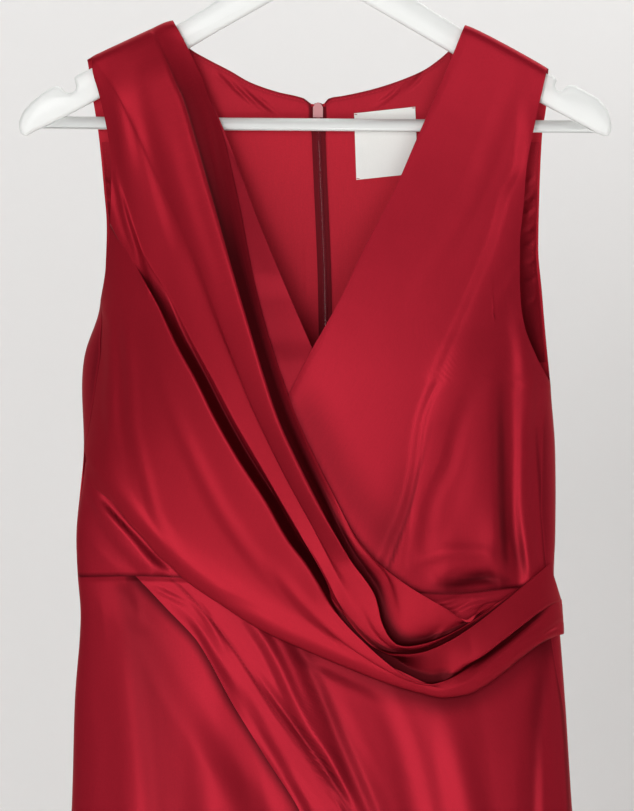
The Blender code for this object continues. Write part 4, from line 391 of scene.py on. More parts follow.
SKIRT_FRONT_LEFT_CREASES = (
    ("wrap_edge_roll", 5, 9, 1, ((-133, 409, 0.4), (-110, 433, 0.9), (-92, 451, 1.1), (-62, 502, 1.3),
        (-10, 583, 1.3), (26, 700, 1.5), (80, 1000, 1.5), (118, 1400, 1.5))),
    ("wrap_pucker_a", 4, 4, 1, ((-118, 418, 0.3), (-109, 423, 1), (-98, 428, 0.3))),
    ("wrap_pucker_b", 5, 5, 1, ((-92, 439, -0.1), (-85, 449, -0.7), (-78, 461, -0.6), (-73, 471, -0.1))),
    ("wrap_pucker_c", 5, 4, 1, ((-90, 427, 0.3), (-82, 437, 1), (-75, 449, 1), (-67, 464, 0.3))),
    ("band_hollow", 7, 7, 1, ((-76, 464, -0.15), (-67, 477, -0.5), (-57, 495, -0.4), (-47, 510, -0.1))),
    ("band_rise", 6, 7, 1, ((-66, 483, 0.2), (-53, 502, 0.9), (-41, 523, 0.8), (-27, 548, 0.3))),
    ("band_low_hollow", 7, 6, 1, ((-20, 553, -0.3), (-8, 572, -1), (4, 593, -0.9), (21, 634, -0.2))),
    ("stitch_hollow", 1.8, 1.8, 1, ((-107, 411, -0.2), (-84, 434, -0.4), (-61, 462, -0.4),
        (-33, 505, -0.4), (18, 579, -0.4), (43, 634, -0.3))),
    ("stitch_dark", 5, 6, 1, ((-50, 473, -0.2), (-27, 505, -1.7), (1, 543, -2.4), (23, 575, -2.2),
        (45, 618, -1.6), (64, 679, -0.3))),
    ("first_ridge", 8, 7, 1, ((-58, 426, 0.3), (-48, 442, 1.4), (-37, 458, 2.4), (-27, 477, 2.8),
        (-18, 497, 3), (-5, 522, 3), (9, 543, 2.8), (26, 582, 2.6), (42, 619, 1.8), (61, 693, 0.4))),
    ("first_dark", 9, 10, 1, ((-30, 440, -0.3), (-17, 457, -1.6), (-6, 480, -2.6), (4, 504, -3),
        (14, 529, -2.8), (26, 556, -2.6), (38, 585, -2.2), (58, 664, -0.4))),
    ("second_ridge", 14, 16, 1, ((10, 486, 0.2), (26, 516, 1), (41, 554, 1.2), (53, 590, 1.2),
        (70, 671, 0.8), (84, 760, 0.2))),
    ("second_dark", 14, 14, 1, ((39, 488, -0.3), (54, 516, -1.2), (64, 545, -1.5), (73, 583, -1.6),
        (95, 671, -1.2), (110, 767, -0.3))),
    ("right_bright", 18, 16, 1, ((84, 494, 0.2), (95, 523, 1), (109, 568, 1.4), (121, 612, 1.4),
        (135, 708, 1), (147, 797, 0.3))),
    ("right_dark", 14, 9, 1, ((168, 461, -0.4), (164, 494, -1.8), (160, 531, -2.4), (159, 583, -2.6),
        (168, 671, -1.6), (177, 760, -0.3))),
    ("under_drape_dip", 8, 10, 1, ((-16, 464, -0.3), (4, 474, -1.2), (29, 486, -1), (50, 497, -0.3))),
    ("waist_crumple_a", 3, 3.5, 1, ((78, 426, 0.3), (87, 429, 1.2), (98, 427, 1), (107, 423, 0.2))),
    ("waist_crumple_b", 3, 3, 1, ((88, 435, -0.3), (100, 434, -1.1), (113, 427, -0.3))),
    ("waist_crumple_c", 3, 3.5, 1, ((107, 434, 0.3), (118, 430, 0.9), (130, 428, 0.2))),
    ("side_pull", 6, 5, 1, ((177, 457, 0.2), (172, 477, 0.7), (172, 516, 0.8), (175, 560, 0.4))),
    ("low_a", 18, 18, 1, ((41, 686, 0.5), (58, 871, 5), (69, 1093, 8), (76, 1393, 9))),
    ("low_b", 16, 18, 1, ((84, 708, -0.5), (104, 871, -5), (119, 1093, -8), (130, 1393, -9))),
    ("low_c", 14, 14, 1, ((165, 723, 0.5), (180, 871, 4), (195, 1093, 7), (209, 1393, 8))),
)
BACK_BODICE_CREASES = (
    ("left_dart_line", 2, 2, 1, ((-11, 147, -0.12), (-12, 177, -0.54), (-13, 214, -0.6), (-20, 294, -0.6),
        (-29, 409, -0.48))),
    ("right_dart_line", 2, 2, 1, ((21, 149, -0.12), (24, 177, -0.54), (26, 214, -0.6), (35, 294, -0.6),
        (45, 409, -0.48))),
    ("left_side_drag", 10.8, 9.6, 1, ((-164, 227, 0.15), (-131, 243, 0.9), (-87, 273, 0.8),
        (-41, 309, 0.15))),
    ("left_low_drag", 9.6, 9.6, 1, ((-165, 294, 0.15), (-131, 317, 0.9), (-90, 352, 0.8),
        (-48, 397, 0.15))),
    ("left_hollow", 10.8, 10.8, 1, ((-146, 264, -0.15), (-109, 289, -0.9), (-64, 331, -0.8),
        (-33, 375, -0.15))),
    ("right_side_drag", 9.6, 10.8, 1, ((171, 242, 0.15), (135, 261, 0.9), (91, 294, 0.75),
        (48, 331, 0.15))),
    ("right_low_drag", 9.6, 9.6, 1, ((169, 313, 0.15), (135, 334, 0.8), (94, 368, 0.8), (58, 406, 0.15))),
    ("right_hollow", 10.8, 10.8, 1, ((153, 285, -0.15), (113, 313, -0.9), (72, 353, -0.75),
        (47, 388, -0.15))),
    ("left_shoulder_pull", 12, 12, 1, ((-131, 35, 0.1), (-116, 79, 0.6), (-104, 131, 0.6),
        (-98, 190, 0.1))),
    ("right_shoulder_pull", 12, 12, 1, ((135, 35, 0.1), (122, 79, 0.55), (110, 131, 0.6),
        (106, 190, 0.1))),
)
BACK_SKIRT_CREASES = (
    ("left_waist_pull_a", 7.8, 7.8, 1, ((-124, 414, 0.16), (-118, 457, 1), (-116, 531, 1.2),
        (-119, 649, 0.48), (-122, 723, 0.12))),
    ("left_waist_pull_b", 7.8, 7.8, 1, ((-82, 415, -0.16), (-79, 464, -1), (-78, 560, -1.1),
        (-81, 671, -0.2))),
    ("left_waist_pull_c", 6.5, 7.8, 1, ((-41, 417, 0.16), (-38, 457, 0.8), (-35, 531, 0.88),
        (-35, 634, 0.16))),
    ("right_waist_pull_a", 7.8, 7.8, 1, ((47, 418, 0.16), (50, 464, 0.96), (53, 553, 1),
        (57, 649, 0.16))),
    ("right_waist_pull_b", 7.8, 7.8, 1, ((88, 418, -0.16), (91, 464, -0.96), (97, 553, -1),
        (101, 671, -0.2))),
    ("right_waist_pull_c", 7.8, 7.8, 1, ((135, 418, 0.16), (138, 464, 1), (144, 553, 1.2),
        (150, 671, 0.32))),
    ("low_left", 18, 18, 1, ((-124, 693, 0.5), (-131, 871, 5), (-140, 1093, 8), (-146, 1393, 9))),
    ("low_middle", 18, 18, 1, ((-13, 708, -0.5), (-14, 871, -5), (-16, 1093, -8), (-17, 1393, -9))),
    ("low_right", 18, 18, 1, ((135, 693, 0.5), (150, 871, 5), (162, 1093, 8), (171, 1393, 9))),
)

# Shade, listed one by one. The narrow lines lie beside an edge, along a seam or in a hollow, where the
# light can't reach. The broad ones (side_dim, neck_dim, beside_dart, under_drape, and the right
# front's beside_drape) only bring an area to the tone that it has in the photo. The rows are as
# for the creases, with how dark, 0 to 1, in place of the height.
WAIST_SHADE = ("waist_seam", 1.8, 1.8, 1, tuple((x, drop, 0.8) for x, drop in WAIST_SEAM))
WRAP_SHADE = ("beside_wrap_edge", 9, 12, 1, tuple((x, drop, 1.0) for drop, x in WRAP_EDGE))
STITCH_SHADE = ("wrap_stitches", 1.8, 2.4, 1, tuple((x, drop, 0.35) for drop, x in STITCH_LINE))
NECK_SHADE = ("neck_edge", 1.6, 1.6, 1, tuple((x, drop + 0.6, 0.7) for x, drop in BACK_NECK))
NECK_FACING_SHADES = (
    ("zip_side_right", 2.2, 2.2, 1, ((-10.4, 54.4, 0.7), (-4.6, 61.4, 0.85),
        (-5.2, 70, 0.85), (-5.4, 84, 0.6))),
    ("zip_side_left", 2.2, 2.2, 1, ((9.2, 54.4, 0.7), (4.8, 61.4, 0.85),
        (5.0, 70, 0.85), (5.2, 84, 0.6))),
    ("neck_stitches", 1.6, 1.6, 1, tuple((x, drop + 3.4, 0.22) for x, drop in BACK_NECK)),
)
LEFT_FRONT_SHADES = (
    ("beside_drape", 6, 4.5, 1, ((-27, 261, 0.3), (-2, 320, 0.45), (29, 380, 0.5), (56, 407, 0.5),
        (83, 426, 0.5), (111, 443, 0.4))),
    ("neck_dim", 20, 26, 1, ((-20, 267, 0.1), (-5, 295, 0.42), (20, 341, 0.36), (47, 377, 0.3),
        (61, 397, 0.1))),
    ("dart_seam", 2.8, 2.2, 1, ((84, 297, 0.15), (75, 332, 0.4), (70, 353, 0.6), (67, 363, 0.65),
        (61, 381, 0.65), (55, 397, 0.6), (51, 408, 0.3))),
    ("beside_dart", 30, 3, 1, ((75, 325, 0.1), (68, 353, 0.4), (60, 379, 0.45), (55, 396, 0.25))),
    ("waist_hollow", 10, 9, 1, ((82, 418, 0.2), (100, 415, 0.8), (122, 410, 1), (138, 414, 0.45))),
    ("side_hollow", 7, 6, 1, ((136, 294, 0.05), (138, 331, 0.2), (141, 357, 0.3), (144, 378, 0.42),
        (148, 394, 0.55), (152, 406, 0.25))),
    ("side_line", 2.4, 2.4, 1, ((162, 301, 0.2), (164, 331, 0.5), (167, 375, 0.5), (169, 402, 0.5))),
)
RIGHT_FRONT_SHADES = (
    ("beside_drape", 8, 60, 1, ((-78, 54, 0.3), (-67, 87, 0.38), (-56, 147, 0.42), (-44, 205, 0.42),
        (-27, 261, 0.4), (-2, 320, 0.3))),
)
SKIRT_RIGHT_SHADES = (
    ("side_dim", 17, 58, 1, ((-140, 420, 0.5), (-134, 457, 0.5), (-127, 531, 0.42), (-119, 583, 0.36),
        (-109, 686, 0.05))),
    ("beside_edge", 16, 14, 1, ((-48, 517, 0.05), (-36, 539, 0.25), (-13, 576, 0.3), (10, 619, 0.2))),
)
SKIRT_LEFT_SHADES = (
    ("under_drape", 20, 10, 1, ((-57, 436, 0.1), (-13, 461, 0.35), (21, 475, 0.55), (56, 488, 0.7),
        (76, 494, 0.75), (92, 498, 0.75), (110, 495, 0.65), (138, 480, 0.45), (152, 468, 0.5),
        (166, 458, 0.7), (177, 454, 0.4))),
    ("side_line", 2.4, 2.4, 1, ((174, 457, 0.5), (178, 485, 0.55), (182, 516, 0.55), (186, 583, 0.5),
        (189, 649, 0.2))),
    ("stitch_valley", 4, 7, 1, ((-41, 486, 0.05), (-19, 517, 0.35), (1, 543, 0.45), (18, 572, 0.45),
        (36, 608, 0.2))),
    ("first_valley", 8, 15, 1, ((-20, 452, 0.2), (-7, 474, 0.45), (5, 502, 0.5), (15, 525, 0.45),
        (27, 553, 0.35), (41, 583, 0.3), (57, 634, 0.1))),
    ("side_dark_valley", 12, 9, 1, ((169, 462, 0.3), (166, 486, 0.45), (162, 516, 0.4), (161, 583, 0.3),
        (165, 649, 0.05))),
)

# Puckers of the facings: on the armhole facings x counts away from the middle
NECK_FACING_CREASES = (
    ("pucker_a", 3, 3, 1, ((-78, 34, 0.1), (-70, 42, -0.7), (-62, 50, -0.1))),
    ("pucker_b", 3, 3, 1, ((-70, 38, 0.1), (-58, 50, 0.8), (-46, 60, 0.1))),
    ("pucker_c", 3, 3, 1, ((-60, 44, -0.1), (-48, 56, -0.8), (-36, 66, -0.1))),
    ("pucker_d", 3, 3, 1, ((-50, 50, 0.1), (-38, 60, 0.7), (-28, 68, 0.1))),
    ("pucker_e", 3, 3, 1, ((84, 30, 0.1), (74, 42, 0.8), (64, 52, 0.1))),
    ("pucker_f", 3, 3, 1, ((66, 42, -0.1), (54, 54, -0.8), (42, 62, -0.1))),
)
ARMHOLE_FACING_CREASES = (
    ("pucker_a", 3, 3, 1, ((162, 112, 0.1), (157, 117, -1), (151, 120, -0.1))),
    ("pucker_b", 3, 3, 1, ((162, 124, 0.1), (157, 130, 1), (151, 134, 0.1))),
    ("pucker_c", 3, 2.5, 1, ((162, 136, -0.1), (156, 140, -1.2), (150, 143, -0.1))),
    ("pucker_d", 3, 3, 1, ((163, 148, 0.1), (157, 153, 1), (151, 155, 0.1))),
    ("pucker_e", 3, 2.5, 1, ((163, 160, -0.1), (157, 164, -1.2), (152, 166, -0.1))),
    ("pucker_f", 3, 3, 1, ((164, 172, 0.1), (158, 177, 1.1), (152, 178, 0.1))),
    ("pucker_g", 3, 2.5, 1, ((164, 186, -0.1), (159, 190, -1.1), (153, 191, -0.1))),
    ("pucker_h", 3, 3, 1, ((164, 200, 0.1), (160, 206, 0.9), (155, 208, 0.1))),
)

# Rows and columns of the grids: close together where the shoulder rolls over the hanger arm
ROLL_ROWS = (0.0, 0.0006, 0.0014, 0.0026, 0.0045, 0.0072, 0.0110, 0.0160, 0.022)
BODICE_ROWS = 120
SKIRT_ROWS = 230
SKIRT_ROW_CROWD = 1.75     # above 1 puts more of the rows near the waist
LEFT_FRONT_COLUMNS = 160
RIGHT_FRONT_COLUMNS = 90
LOWER_SKIRT_COLUMNS = 100
UPPER_SKIRT_COLUMNS = 200
BACK_BODICE_COLUMNS = 100
BACK_SKIRT_COLUMNS = 110
DRAPE_COLUMNS = 250
DRAPE_ROWS = (4, 5, 10, 16, 10, 6, 7, 7, 3, 10, 12, 12, 7, 8, 8, 7)   # between one fold and the next
DRAPE_CORNER_FOLD = 11.0   # the folds before this one end at the side or armhole
DRAPE_SEAM_END = 318.0     # below this drop the drape's own line is followed
DRAPE_SHIFT_SHARE = 0.08   # of the drape's width, in which its start is eased to the seam
DRAPE_SEAM_SPACE = 0.4
DRAPE_SEAM_SPACE_DROPS = (206.0, 225.0)
DRAPE_CREASE_START = 0.05
DRAPE_TURN_X = 89.0        # where the folds turn up into the pleats
DRAPE_TURN_SHARE = 0.78
DRAPE_START_CROWD = 1.35
DRAPE_END_CROWD = 1.25
DRAPE_ARMHOLE_END = ((180.0, 200.0), (222.0, 245.0))
ARMHOLE_END_SPACE = 1.0

# The right front under the drape, and its corner that shows below
UNDER_TOP_DROP = 27.0
UNDER_INSET = LAYER + 3.8
UNDER_INSET_END = (300.0, 345.0)
UNDER_TIP_INSET = 6.0
UNDER_TIP_END = (30.0, 60.0)
UNDER_ROLL_END = (12.0, 40.0)
UNDER_SHOULDER_SPACE = 1.2
UNDER_SHOULDER_X = (106.0, 120.0)
UNDER_SHOULDER_DROPS = (1.2, 3.4)
UNDER_ARMHOLE_SPACE = 1.8
UNDER_ARMHOLE_END = ((185.0, 205.0), (232.0, 255.0))
CORNER_DROPS = (330.0, 372.0)
CORNER_X = (-138.0, -108.0)

# Ends of the panels: x on the waist seam and at the hem
LEFT_FRONT_WAIST = (-86.0, 170.0)
RIGHT_FRONT_WAIST = (-177.0, 72.0)
BACK_SIDE_X = 176.0
BACK_MIDDLE_X = 8.0
HEM_SIDE_X = 280.0
NECK_POINT_STEPS = (0.0, 1.1, 4.2)   # close columns of the backs at the neck point
SIDE_COLUMNS_SHARE = 0.4             # of a back's columns, between side and neck point

# The covered part of the lower skirt front
UNDER_SKIRT_SPACE = LAYER + 1.4
UNDER_SKIRT_DROPS = (430.0, 800.0)
UNDER_SKIRT_START = (52.0, 20.0)     # how far before the wrap's edge it steps back

# Trims inside the back
TRIM_LIFT = -(WALL + TRIM_WALL) * 0.5 - GAP
ARMHOLE_FACING_LIFT = TRIM_LIFT - 1.4
ARMHOLE_FACING_DROP = 88.0
ARMHOLE_FACING_END = 16.0            # above the armhole's lowest point
ARMHOLE_FACING_START = 2.0           # in from the armhole's edge
ARMHOLE_FACING_WIDTHS = (24.0, 14.0)
NECK_FACING_OUTER = (99.0, 96.0)     # half width on the right, and on the left
NECK_FACING_END = 78.5
TAPE_START_DROP = 61.5
TAPE_THICKNESS = 0.5
LABEL_THICKNESS = 0.35
LABEL_FACING_END = (79.0, 92.0)      # where the label steps down from the facing to the back


def smooth_read(places, values, at):
    """Values between the rows of a table, smoothly and with no overshoot."""
    places = np.asarray(places, float)
    values = np.asarray(values, float)
    steps = np.diff(values) / np.diff(places)
    slopes = np.empty_like(values)
    slopes[0], slopes[-1] = steps[0], steps[-1]
    product = steps[:-1] * steps[1:]
    both = np.where(product > 0.0, steps[:-1] + steps[1:], 1.0)
    slopes[1:-1] = np.where(product > 0.0, 2.0 * product / both, 0.0)
    at = np.clip(at, places[0], places[-1])
    k = np.clip(np.searchsorted(places, at, side="right") - 1, 0, len(places) - 2)
    span = places[k + 1] - places[k]
    t = (at - places[k]) / span
    return ((2 * t ** 3 - 3 * t ** 2 + 1) * values[k] + (t ** 3 - 2 * t ** 2 + t) * span * slopes[k]
            + (3 * t ** 2 - 2 * t ** 3) * values[k + 1] + (t ** 3 - t ** 2) * span * slopes[k + 1])


def read(table, column, at):
    """One column of a table whose first column is the place."""
    return smooth_read([row[0] for row in table], [row[column] for row in table], at)


SECTION_STEP = 2.0
SECTION_DROPS = np.arange(-80.0, 1480.0, SECTION_STEP)
BLEND_STEPS = 45           # steps that a blend takes in on each side


def blended(values, spread):
    """Values down the dress, blended over a distance so that the satin shows no kink."""
    steps = np.arange(-BLEND_STEPS, BLEND_STEPS + 1)
    window = np.exp(-0.5 * (steps * SECTION_STEP / spread) ** 2)
    return np.convolve(np.pad(values, BLEND_STEPS, mode="edge"), window / window.sum(), "valid")


SECTION_SPREADS = (6.0, 6.0, 30.0, 30.0, 12.0)
SHIFT_SPREAD = 16.0
SMOOTH_SECTIONS = [blended(read(SECTIONS, k + 1, SECTION_DROPS), spread)
                   for k, spread in enumerate(SECTION_SPREADS)]


def section(column, drop):
    return np.interp(drop, SECTION_DROPS, SMOOTH_SECTIONS[column - 1])


def soft_step(place, start, end):
    t = np.clip((place - start) / (end - start), 0.0, 1.0)
    return t * t * (3.0 - 2.0 * t)


def fade_out(place, start, end):
    return 1.0 - soft_step(place, start, end)


def between(place, rise, fall):
    """1 between two soft steps, 0 outside them."""
    return soft_step(place, *rise) * fade_out(place, *fall)


def mix(a, b, t):
    return a + (b - a) * t


def toward_middle(on_left):
    """Which way the middle lies along x from this side."""
    return 1.0 if on_left else -1.0


def half_width(drop, on_left):
    return np.where(on_left, section(1, drop), section(2, drop))


def form_depth(drop, at_front):
    return np.where(at_front, section(3, drop), section(4, drop))


def shoulder_drop(x):
    away = np.abs(x)
    return np.where(np.asarray(x) < 0.0, read(SHOULDER_LINE, 1, away), read(SHOULDER_LINE, 2, away))


def drape_top(x):
    """The drape hangs from the left shoulder all along."""
    return shoulder_drop(np.minimum(x, -1.0))


def shoulder_roll(below):
    """How far the cloth has turned from the seam on top to hanging down, 0 to 1."""
    t = 1.0 - np.clip(below / ROLL_HEIGHT, 0.0, 1.0)
    return (1.0 - t ** ROLL_SQUARENESS) ** (1.0 / ROLL_SQUARENESS)


def seam_inset(drop, on_left):
    return np.where(on_left, read(SEAM_INSETS, 1, drop), read(SEAM_INSETS, 2, drop))


def smoothed_shift(on_left):
    """How far the widest line lies behind the middle plane, blended as the sections are."""
    share = 1.0 - seam_inset(SECTION_DROPS, on_left) / half_width(SECTION_DROPS, on_left)
    inside = np.maximum(1.0 - share ** (2.0 / SIDE_FLATNESS), 0.0)
    shift = form_depth(SECTION_DROPS, True) * inside ** section(5, SECTION_DROPS) / share ** 3
    shift = np.where(seam_inset(SECTION_DROPS, on_left) > 0.0, shift, 0.0)
    return blended(shift, SHIFT_SPREAD)


LEFT_SHIFT = smoothed_shift(True)
RIGHT_SHIFT = smoothed_shift(False)


def back_shift(x, drop):
    """The widest line lies behind the middle plane where the side seam is in front of it."""
    share = np.minimum(np.abs(x) / half_width(drop, x < 0.0), 1.0)
    left = np.interp(drop, SECTION_DROPS, LEFT_SHIFT)
    right = np.interp(drop, SECTION_DROPS, RIGHT_SHIFT)
    return np.where(x < 0.0, left, right) * share ** 3


def form_point(x, drop, lift, at_front):
    """Places on a layer of the front or back, as an array of x, y and z in mm."""
    x, drop, lift, at_front = np.broadcast_arrays(x, drop, lift, at_front)
    on_left = x < 0.0
    share = np.minimum(np.abs(x) / (half_width(drop, on_left) + lift), 1.0)
    inside = np.maximum(1.0 - share ** (2.0 / SIDE_FLATNESS), 0.0)
    depth = (form_depth(drop, at_front) + lift) * inside ** section(5, drop)
    depth = depth * shoulder_roll(drop - shoulder_drop(x) + lift)
    y = back_shift(x, drop) + np.where(at_front, -depth, depth)
    return np.stack([x, y, SHOULDER_Z - drop], axis=-1)


def side_angle(x, drop):
    """Angle round the section, 0 at the left side and 180 degrees at the right side."""
    share = np.minimum(np.abs(x) / half_width(drop, np.asarray(x) < 0.0), 1.0) ** (1.0 / SIDE_FLATNESS)
    angle = np.arccos(share)
    return np.where(np.asarray(x) < 0.0, angle, math.pi - angle)


def angle_x(angle, drop):
    c = np.cos(angle)
    return -np.sign(c) * half_width(drop, c > 0.0) * np.abs(c) ** SIDE_FLATNESS


def seam_x(drop, on_left):
    inset = seam_inset(drop, on_left)
    return np.where(on_left, inset - half_width(drop, True), half_width(drop, False) - inset)


def seam_share(drop, on_left):
    """Space at a side seam, as x: the surface there runs partly across."""
    return SEAM * 0.5 * soft_step(seam_inset(drop, on_left), 0.0, 6.0)


def side_fade(x, drop):
    """Folds and creases die out at the side seams."""
    room = np.abs(seam_x(drop, x < 0.0)) - np.abs(x)
    return soft_step(room, 0.0, SIDE_FADE)


def waist_drop(x):
    return read(WAIST_SEAM, 1, x)


def waist_tuck(x, drop):
    """Both sides of the waist seam are drawn in by its stitches."""
    return -WAIST_TUCK * fade_out(np.abs(drop - waist_drop(x)), 0.0, WAIST_TUCK_REACH)


def fold_relief(folds, x, drop, growth=0.0):
    """Sum of the soft folds of a table; growth is the length a fold grows over."""
    total = np.zeros(np.broadcast(x, drop).shape)
    for name, line, left_width, right_width, height in folds:
        start, end = line[0][0], line[-1][0]
        line_x = read(line, 1, drop)
        width = np.where(x < line_x, left_width, right_width)
        if growth:
            share = np.clip((drop - start) / growth, 0.0, 1.0)
            size = height * mix(FOLD_START_SHARE, 1.0, share ** 1.5)
            size = size * soft_step(drop, start - 10.0, start + 60.0)
            width = width * mix(*FOLD_WIDTH_SHARES, share)
        else:
            size = height * soft_step(drop, start - FOLD_FADE, start + 20.0)
            size = size * (1.0 - 0.5 * soft_step(drop, end, end + FOLD_FADE))
            size = np.where(drop > end + FOLD_FADE, 0.0, size)
        away = np.minimum(np.abs(x - line_x) / width, 1.0)
        total = total + size * (0.5 + 0.5 * np.cos(math.pi * away))
    return total


def crease_line(points):
    """A crease's points, filled in smoothly at even steps: x, drop, height."""
    points = np.array(points, float)
    along = np.concatenate([[0.0], np.cumsum(np.hypot(*np.diff(points[:, :2], axis=0).T))])
    at = np.linspace(0.0, along[-1], max(int(along[-1] / CREASE_STEP), 2) + 1)
    return np.stack([smooth_read(along, points[:, k], at) for k in range(3)], axis=-1)


def crease_relief(creases, x, drop):
    """Sum of the creases placed by hand, each a line with its reach to both sides."""
    x, drop = np.broadcast_arrays(x, drop)
    total = np.zeros(x.shape)
    for name, left_reach, right_reach, sharpness, points in creases:
        line = crease_line(points)
        reach = max(left_reach, right_reach)
        near = ((x > line[:, 0].min() - reach) & (x < line[:, 0].max() + reach)
                & (drop > line[:, 1].min() - reach) & (drop < line[:, 1].max() + reach))
        px, pd = x[near], drop[near]
        best = np.full(px.shape, 1e9)
        height = np.zeros(px.shape)
        for a, b in zip(line[:-1], line[1:]):
            dx, dd = b[0] - a[0], b[1] - a[1]
            t = np.clip(((px - a[0]) * dx + (pd - a[1]) * dd) / (dx * dx + dd * dd), 0.0, 1.0)
            away_x, away_d = px - a[0] - t * dx, pd - a[1] - t * dd
            on_right = away_x * dd - away_d * dx > 0.0
            away = np.hypot(away_x, away_d) / np.where(on_right, right_reach, left_reach)
            closer = away < best
            best = np.where(closer, away, best)
            height = np.where(closer, mix(a[2], b[2], t), height)
        profile = (0.5 + 0.5 * np.cos(math.pi * np.minimum(best, 1.0))) ** sharpness
        total[near] += height * profile
    return total


def relief(folds, creases, x, drop, growth=0.0):
    """Folds, creases and the tuck at the waist seam; they die out at the side seams."""
    soft = fold_relief(folds, x, drop, growth) + crease_relief(creases, x, drop)
    return (soft + waist_tuck(x, drop)) * side_fade(x, drop)


# The cloth panels as grids of places in mm, rows running down and columns across

def panel_rows(count):
    even = [mix(ROLL_ROWS[-1], 1.0, k / count) for k in range(1, count + 1)]
    return np.array(list(ROLL_ROWS) + even)


def straight_drop(edge_a, edge_b, x):
    return mix(edge_a[1], edge_b[1], (x - edge_a[0]) / (edge_b[0] - edge_a[0]))


def bend_ends(x, v, drop, ends, top, bottom):
    """Bend the first and last rows of a panel from straight lines to its real top and bottom."""
    (top_a, top_b), (bottom_a, bottom_b) = ends
    bend = (top(x) - straight_drop(top_a, top_b, x)) * (1.0 - v) ** 2
    return drop + bend + (bottom(x) - straight_drop(bottom_a, bottom_b, x)) * v ** 2


def front_panel(left_edge, right_edge, v, columns, lift_at, top, bottom):
    """Grid between two edges, each a function of a row place that gives x and drop."""
    first, last = np.array(0.0), np.array(1.0)
    ends = ((left_edge(first), right_edge(first)), (left_edge(last), right_edge(last)))
    v = v[:, None]
    (xa, da), (xb, db) = left_edge(v), right_edge(v)
    u = np.linspace(0.0, 1.0, columns + 1)[None, :]
    angle = mix(side_angle(xa, da), side_angle(xb, db), u)
    drop = mix(da, db, u)
    for _ in range(3):
        x = angle_x(angle, drop)
        drop = mix(da, db, (x - xa) / (xb - xa))
    x[:, :1], drop[:, :1] = xa, da
    x[:, -1:], drop[:, -1:] = xb, db
    drop = bend_ends(x, v, drop, ends, top, bottom)
    return form_point(x, drop, lift_at(x, drop), True)


def front_edge(v, start, armhole, armhole_drop, on_left, end, inset=0.0):
    """Armhole, then side seam, of a front: the row place gives x and drop."""
    drop = mix(start, end, v)
    x = np.where(drop < armhole_drop, read(armhole, 1, drop), seam_x(drop, on_left))
    return x + toward_middle(on_left) * (inset + seam_share(drop, on_left)), drop


def table_edge(table, start, end):
    """An edge along a table's line, from one drop to another."""
    def edge(v):
        drop = mix(start, end, v)
        return read(table, 1, drop), drop

    return edge


def keep_in_front(points, column):
    """Keep a side column of a front off the back by half the seam's space."""
    x, drop = points[:, column, 0], SHOULDER_Z - points[:, column, 2]
    points[:, column, 1] = np.minimum(points[:, column, 1], back_shift(x, drop) - SEAM * 0.5)
    return points


def bodice_front(edges, columns, lift, top, side_column):
    points = front_panel(*edges, panel_rows(BODICE_ROWS), columns, lift, top, waist_drop)
    points[0, :, 1] = -SEAM * 0.5
    return keep_in_front(points, side_column)


def left_front():
    end_left, end_right = (waist_drop(x) for x in LEFT_FRONT_WAIST)

    def side(v):
        start = RIGHT_FRONT_ARMHOLE[0][0]
        return front_edge(v, start, RIGHT_FRONT_ARMHOLE, RIGHT_ARMHOLE_DROP, False, end_right)

    def lift(x, drop):
        return relief(LEFT_FRONT_FOLDS, LEFT_FRONT_CREASES, x, drop)

    neck = table_edge(LEFT_FRONT_NECK, LEFT_FRONT_NECK[0][0], end_left)
    return bodice_front((neck, side), LEFT_FRONT_COLUMNS, lift, shoulder_drop, -1)


def under_front_lift(x, drop):
    """The right front lies a layer deeper, apart from its corner below the drape."""
    corner = soft_step(drop, *CORNER_DROPS) * fade_out(x, *CORNER_X)
    under_roll = UNDER_SHOULDER_SPACE * fade_out(drop - shoulder_drop(x), *UNDER_ROLL_END)
    near_armhole = between(drop, *UNDER_ARMHOLE_END)
    deeper = -LAYER * (1.0 - corner) - under_roll - UNDER_ARMHOLE_SPACE * near_armhole
    return deeper + relief(RIGHT_FRONT_FOLDS, RIGHT_FRONT_CREASES, x, drop)


def under_front_top(x):
    return shoulder_drop(x) + LAYER + mix(*UNDER_SHOULDER_DROPS, soft_step(-x, *UNDER_SHOULDER_X))


def right_front():
    end_left, end_right = (waist_drop(x) for x in RIGHT_FRONT_WAIST)

    def side(v):
        drop = mix(UNDER_TOP_DROP, end_left, v)
        inset = UNDER_INSET * fade_out(drop, *UNDER_INSET_END)
        inset = inset + UNDER_TIP_INSET * fade_out(drop, *UNDER_TIP_END)
        return front_edge(v, UNDER_TOP_DROP, LEFT_FRONT_ARMHOLE, LEFT_ARMHOLE_DROP, True, end_left, inset)

    neck = table_edge(RIGHT_FRONT_NECK, RIGHT_FRONT_NECK[0][0], end_right)
    return bodice_front((side, neck), RIGHT_FRONT_COLUMNS, under_front_lift, under_front_top, 0)


def chord_places(points):
    """Distance along a fold line, shared out so that every fold turns at the same column."""
    along = [0.0]
    for a, b in zip(points, points[1:]):
        along.append(along[-1] + math.hypot(b[0] - a[0], b[1] - a[1]))
    turn = next(k for k, p in enumerate(points) if p[0] >= DRAPE_TURN_X)
    before, after = along[turn], along[-1] - along[turn]
    return [DRAPE_TURN_SHARE * s / before if s <= before
            else DRAPE_TURN_SHARE + (1.0 - DRAPE_TURN_SHARE) * (s - before) / after for s in along]


def across_folds(along_folds, places):
    """Read values known along every fold at places between the folds, as rows and columns."""
    numbers = range(len(along_folds))
    return np.stack([smooth_read(numbers, column, places) for column in along_folds.T], axis=-1)


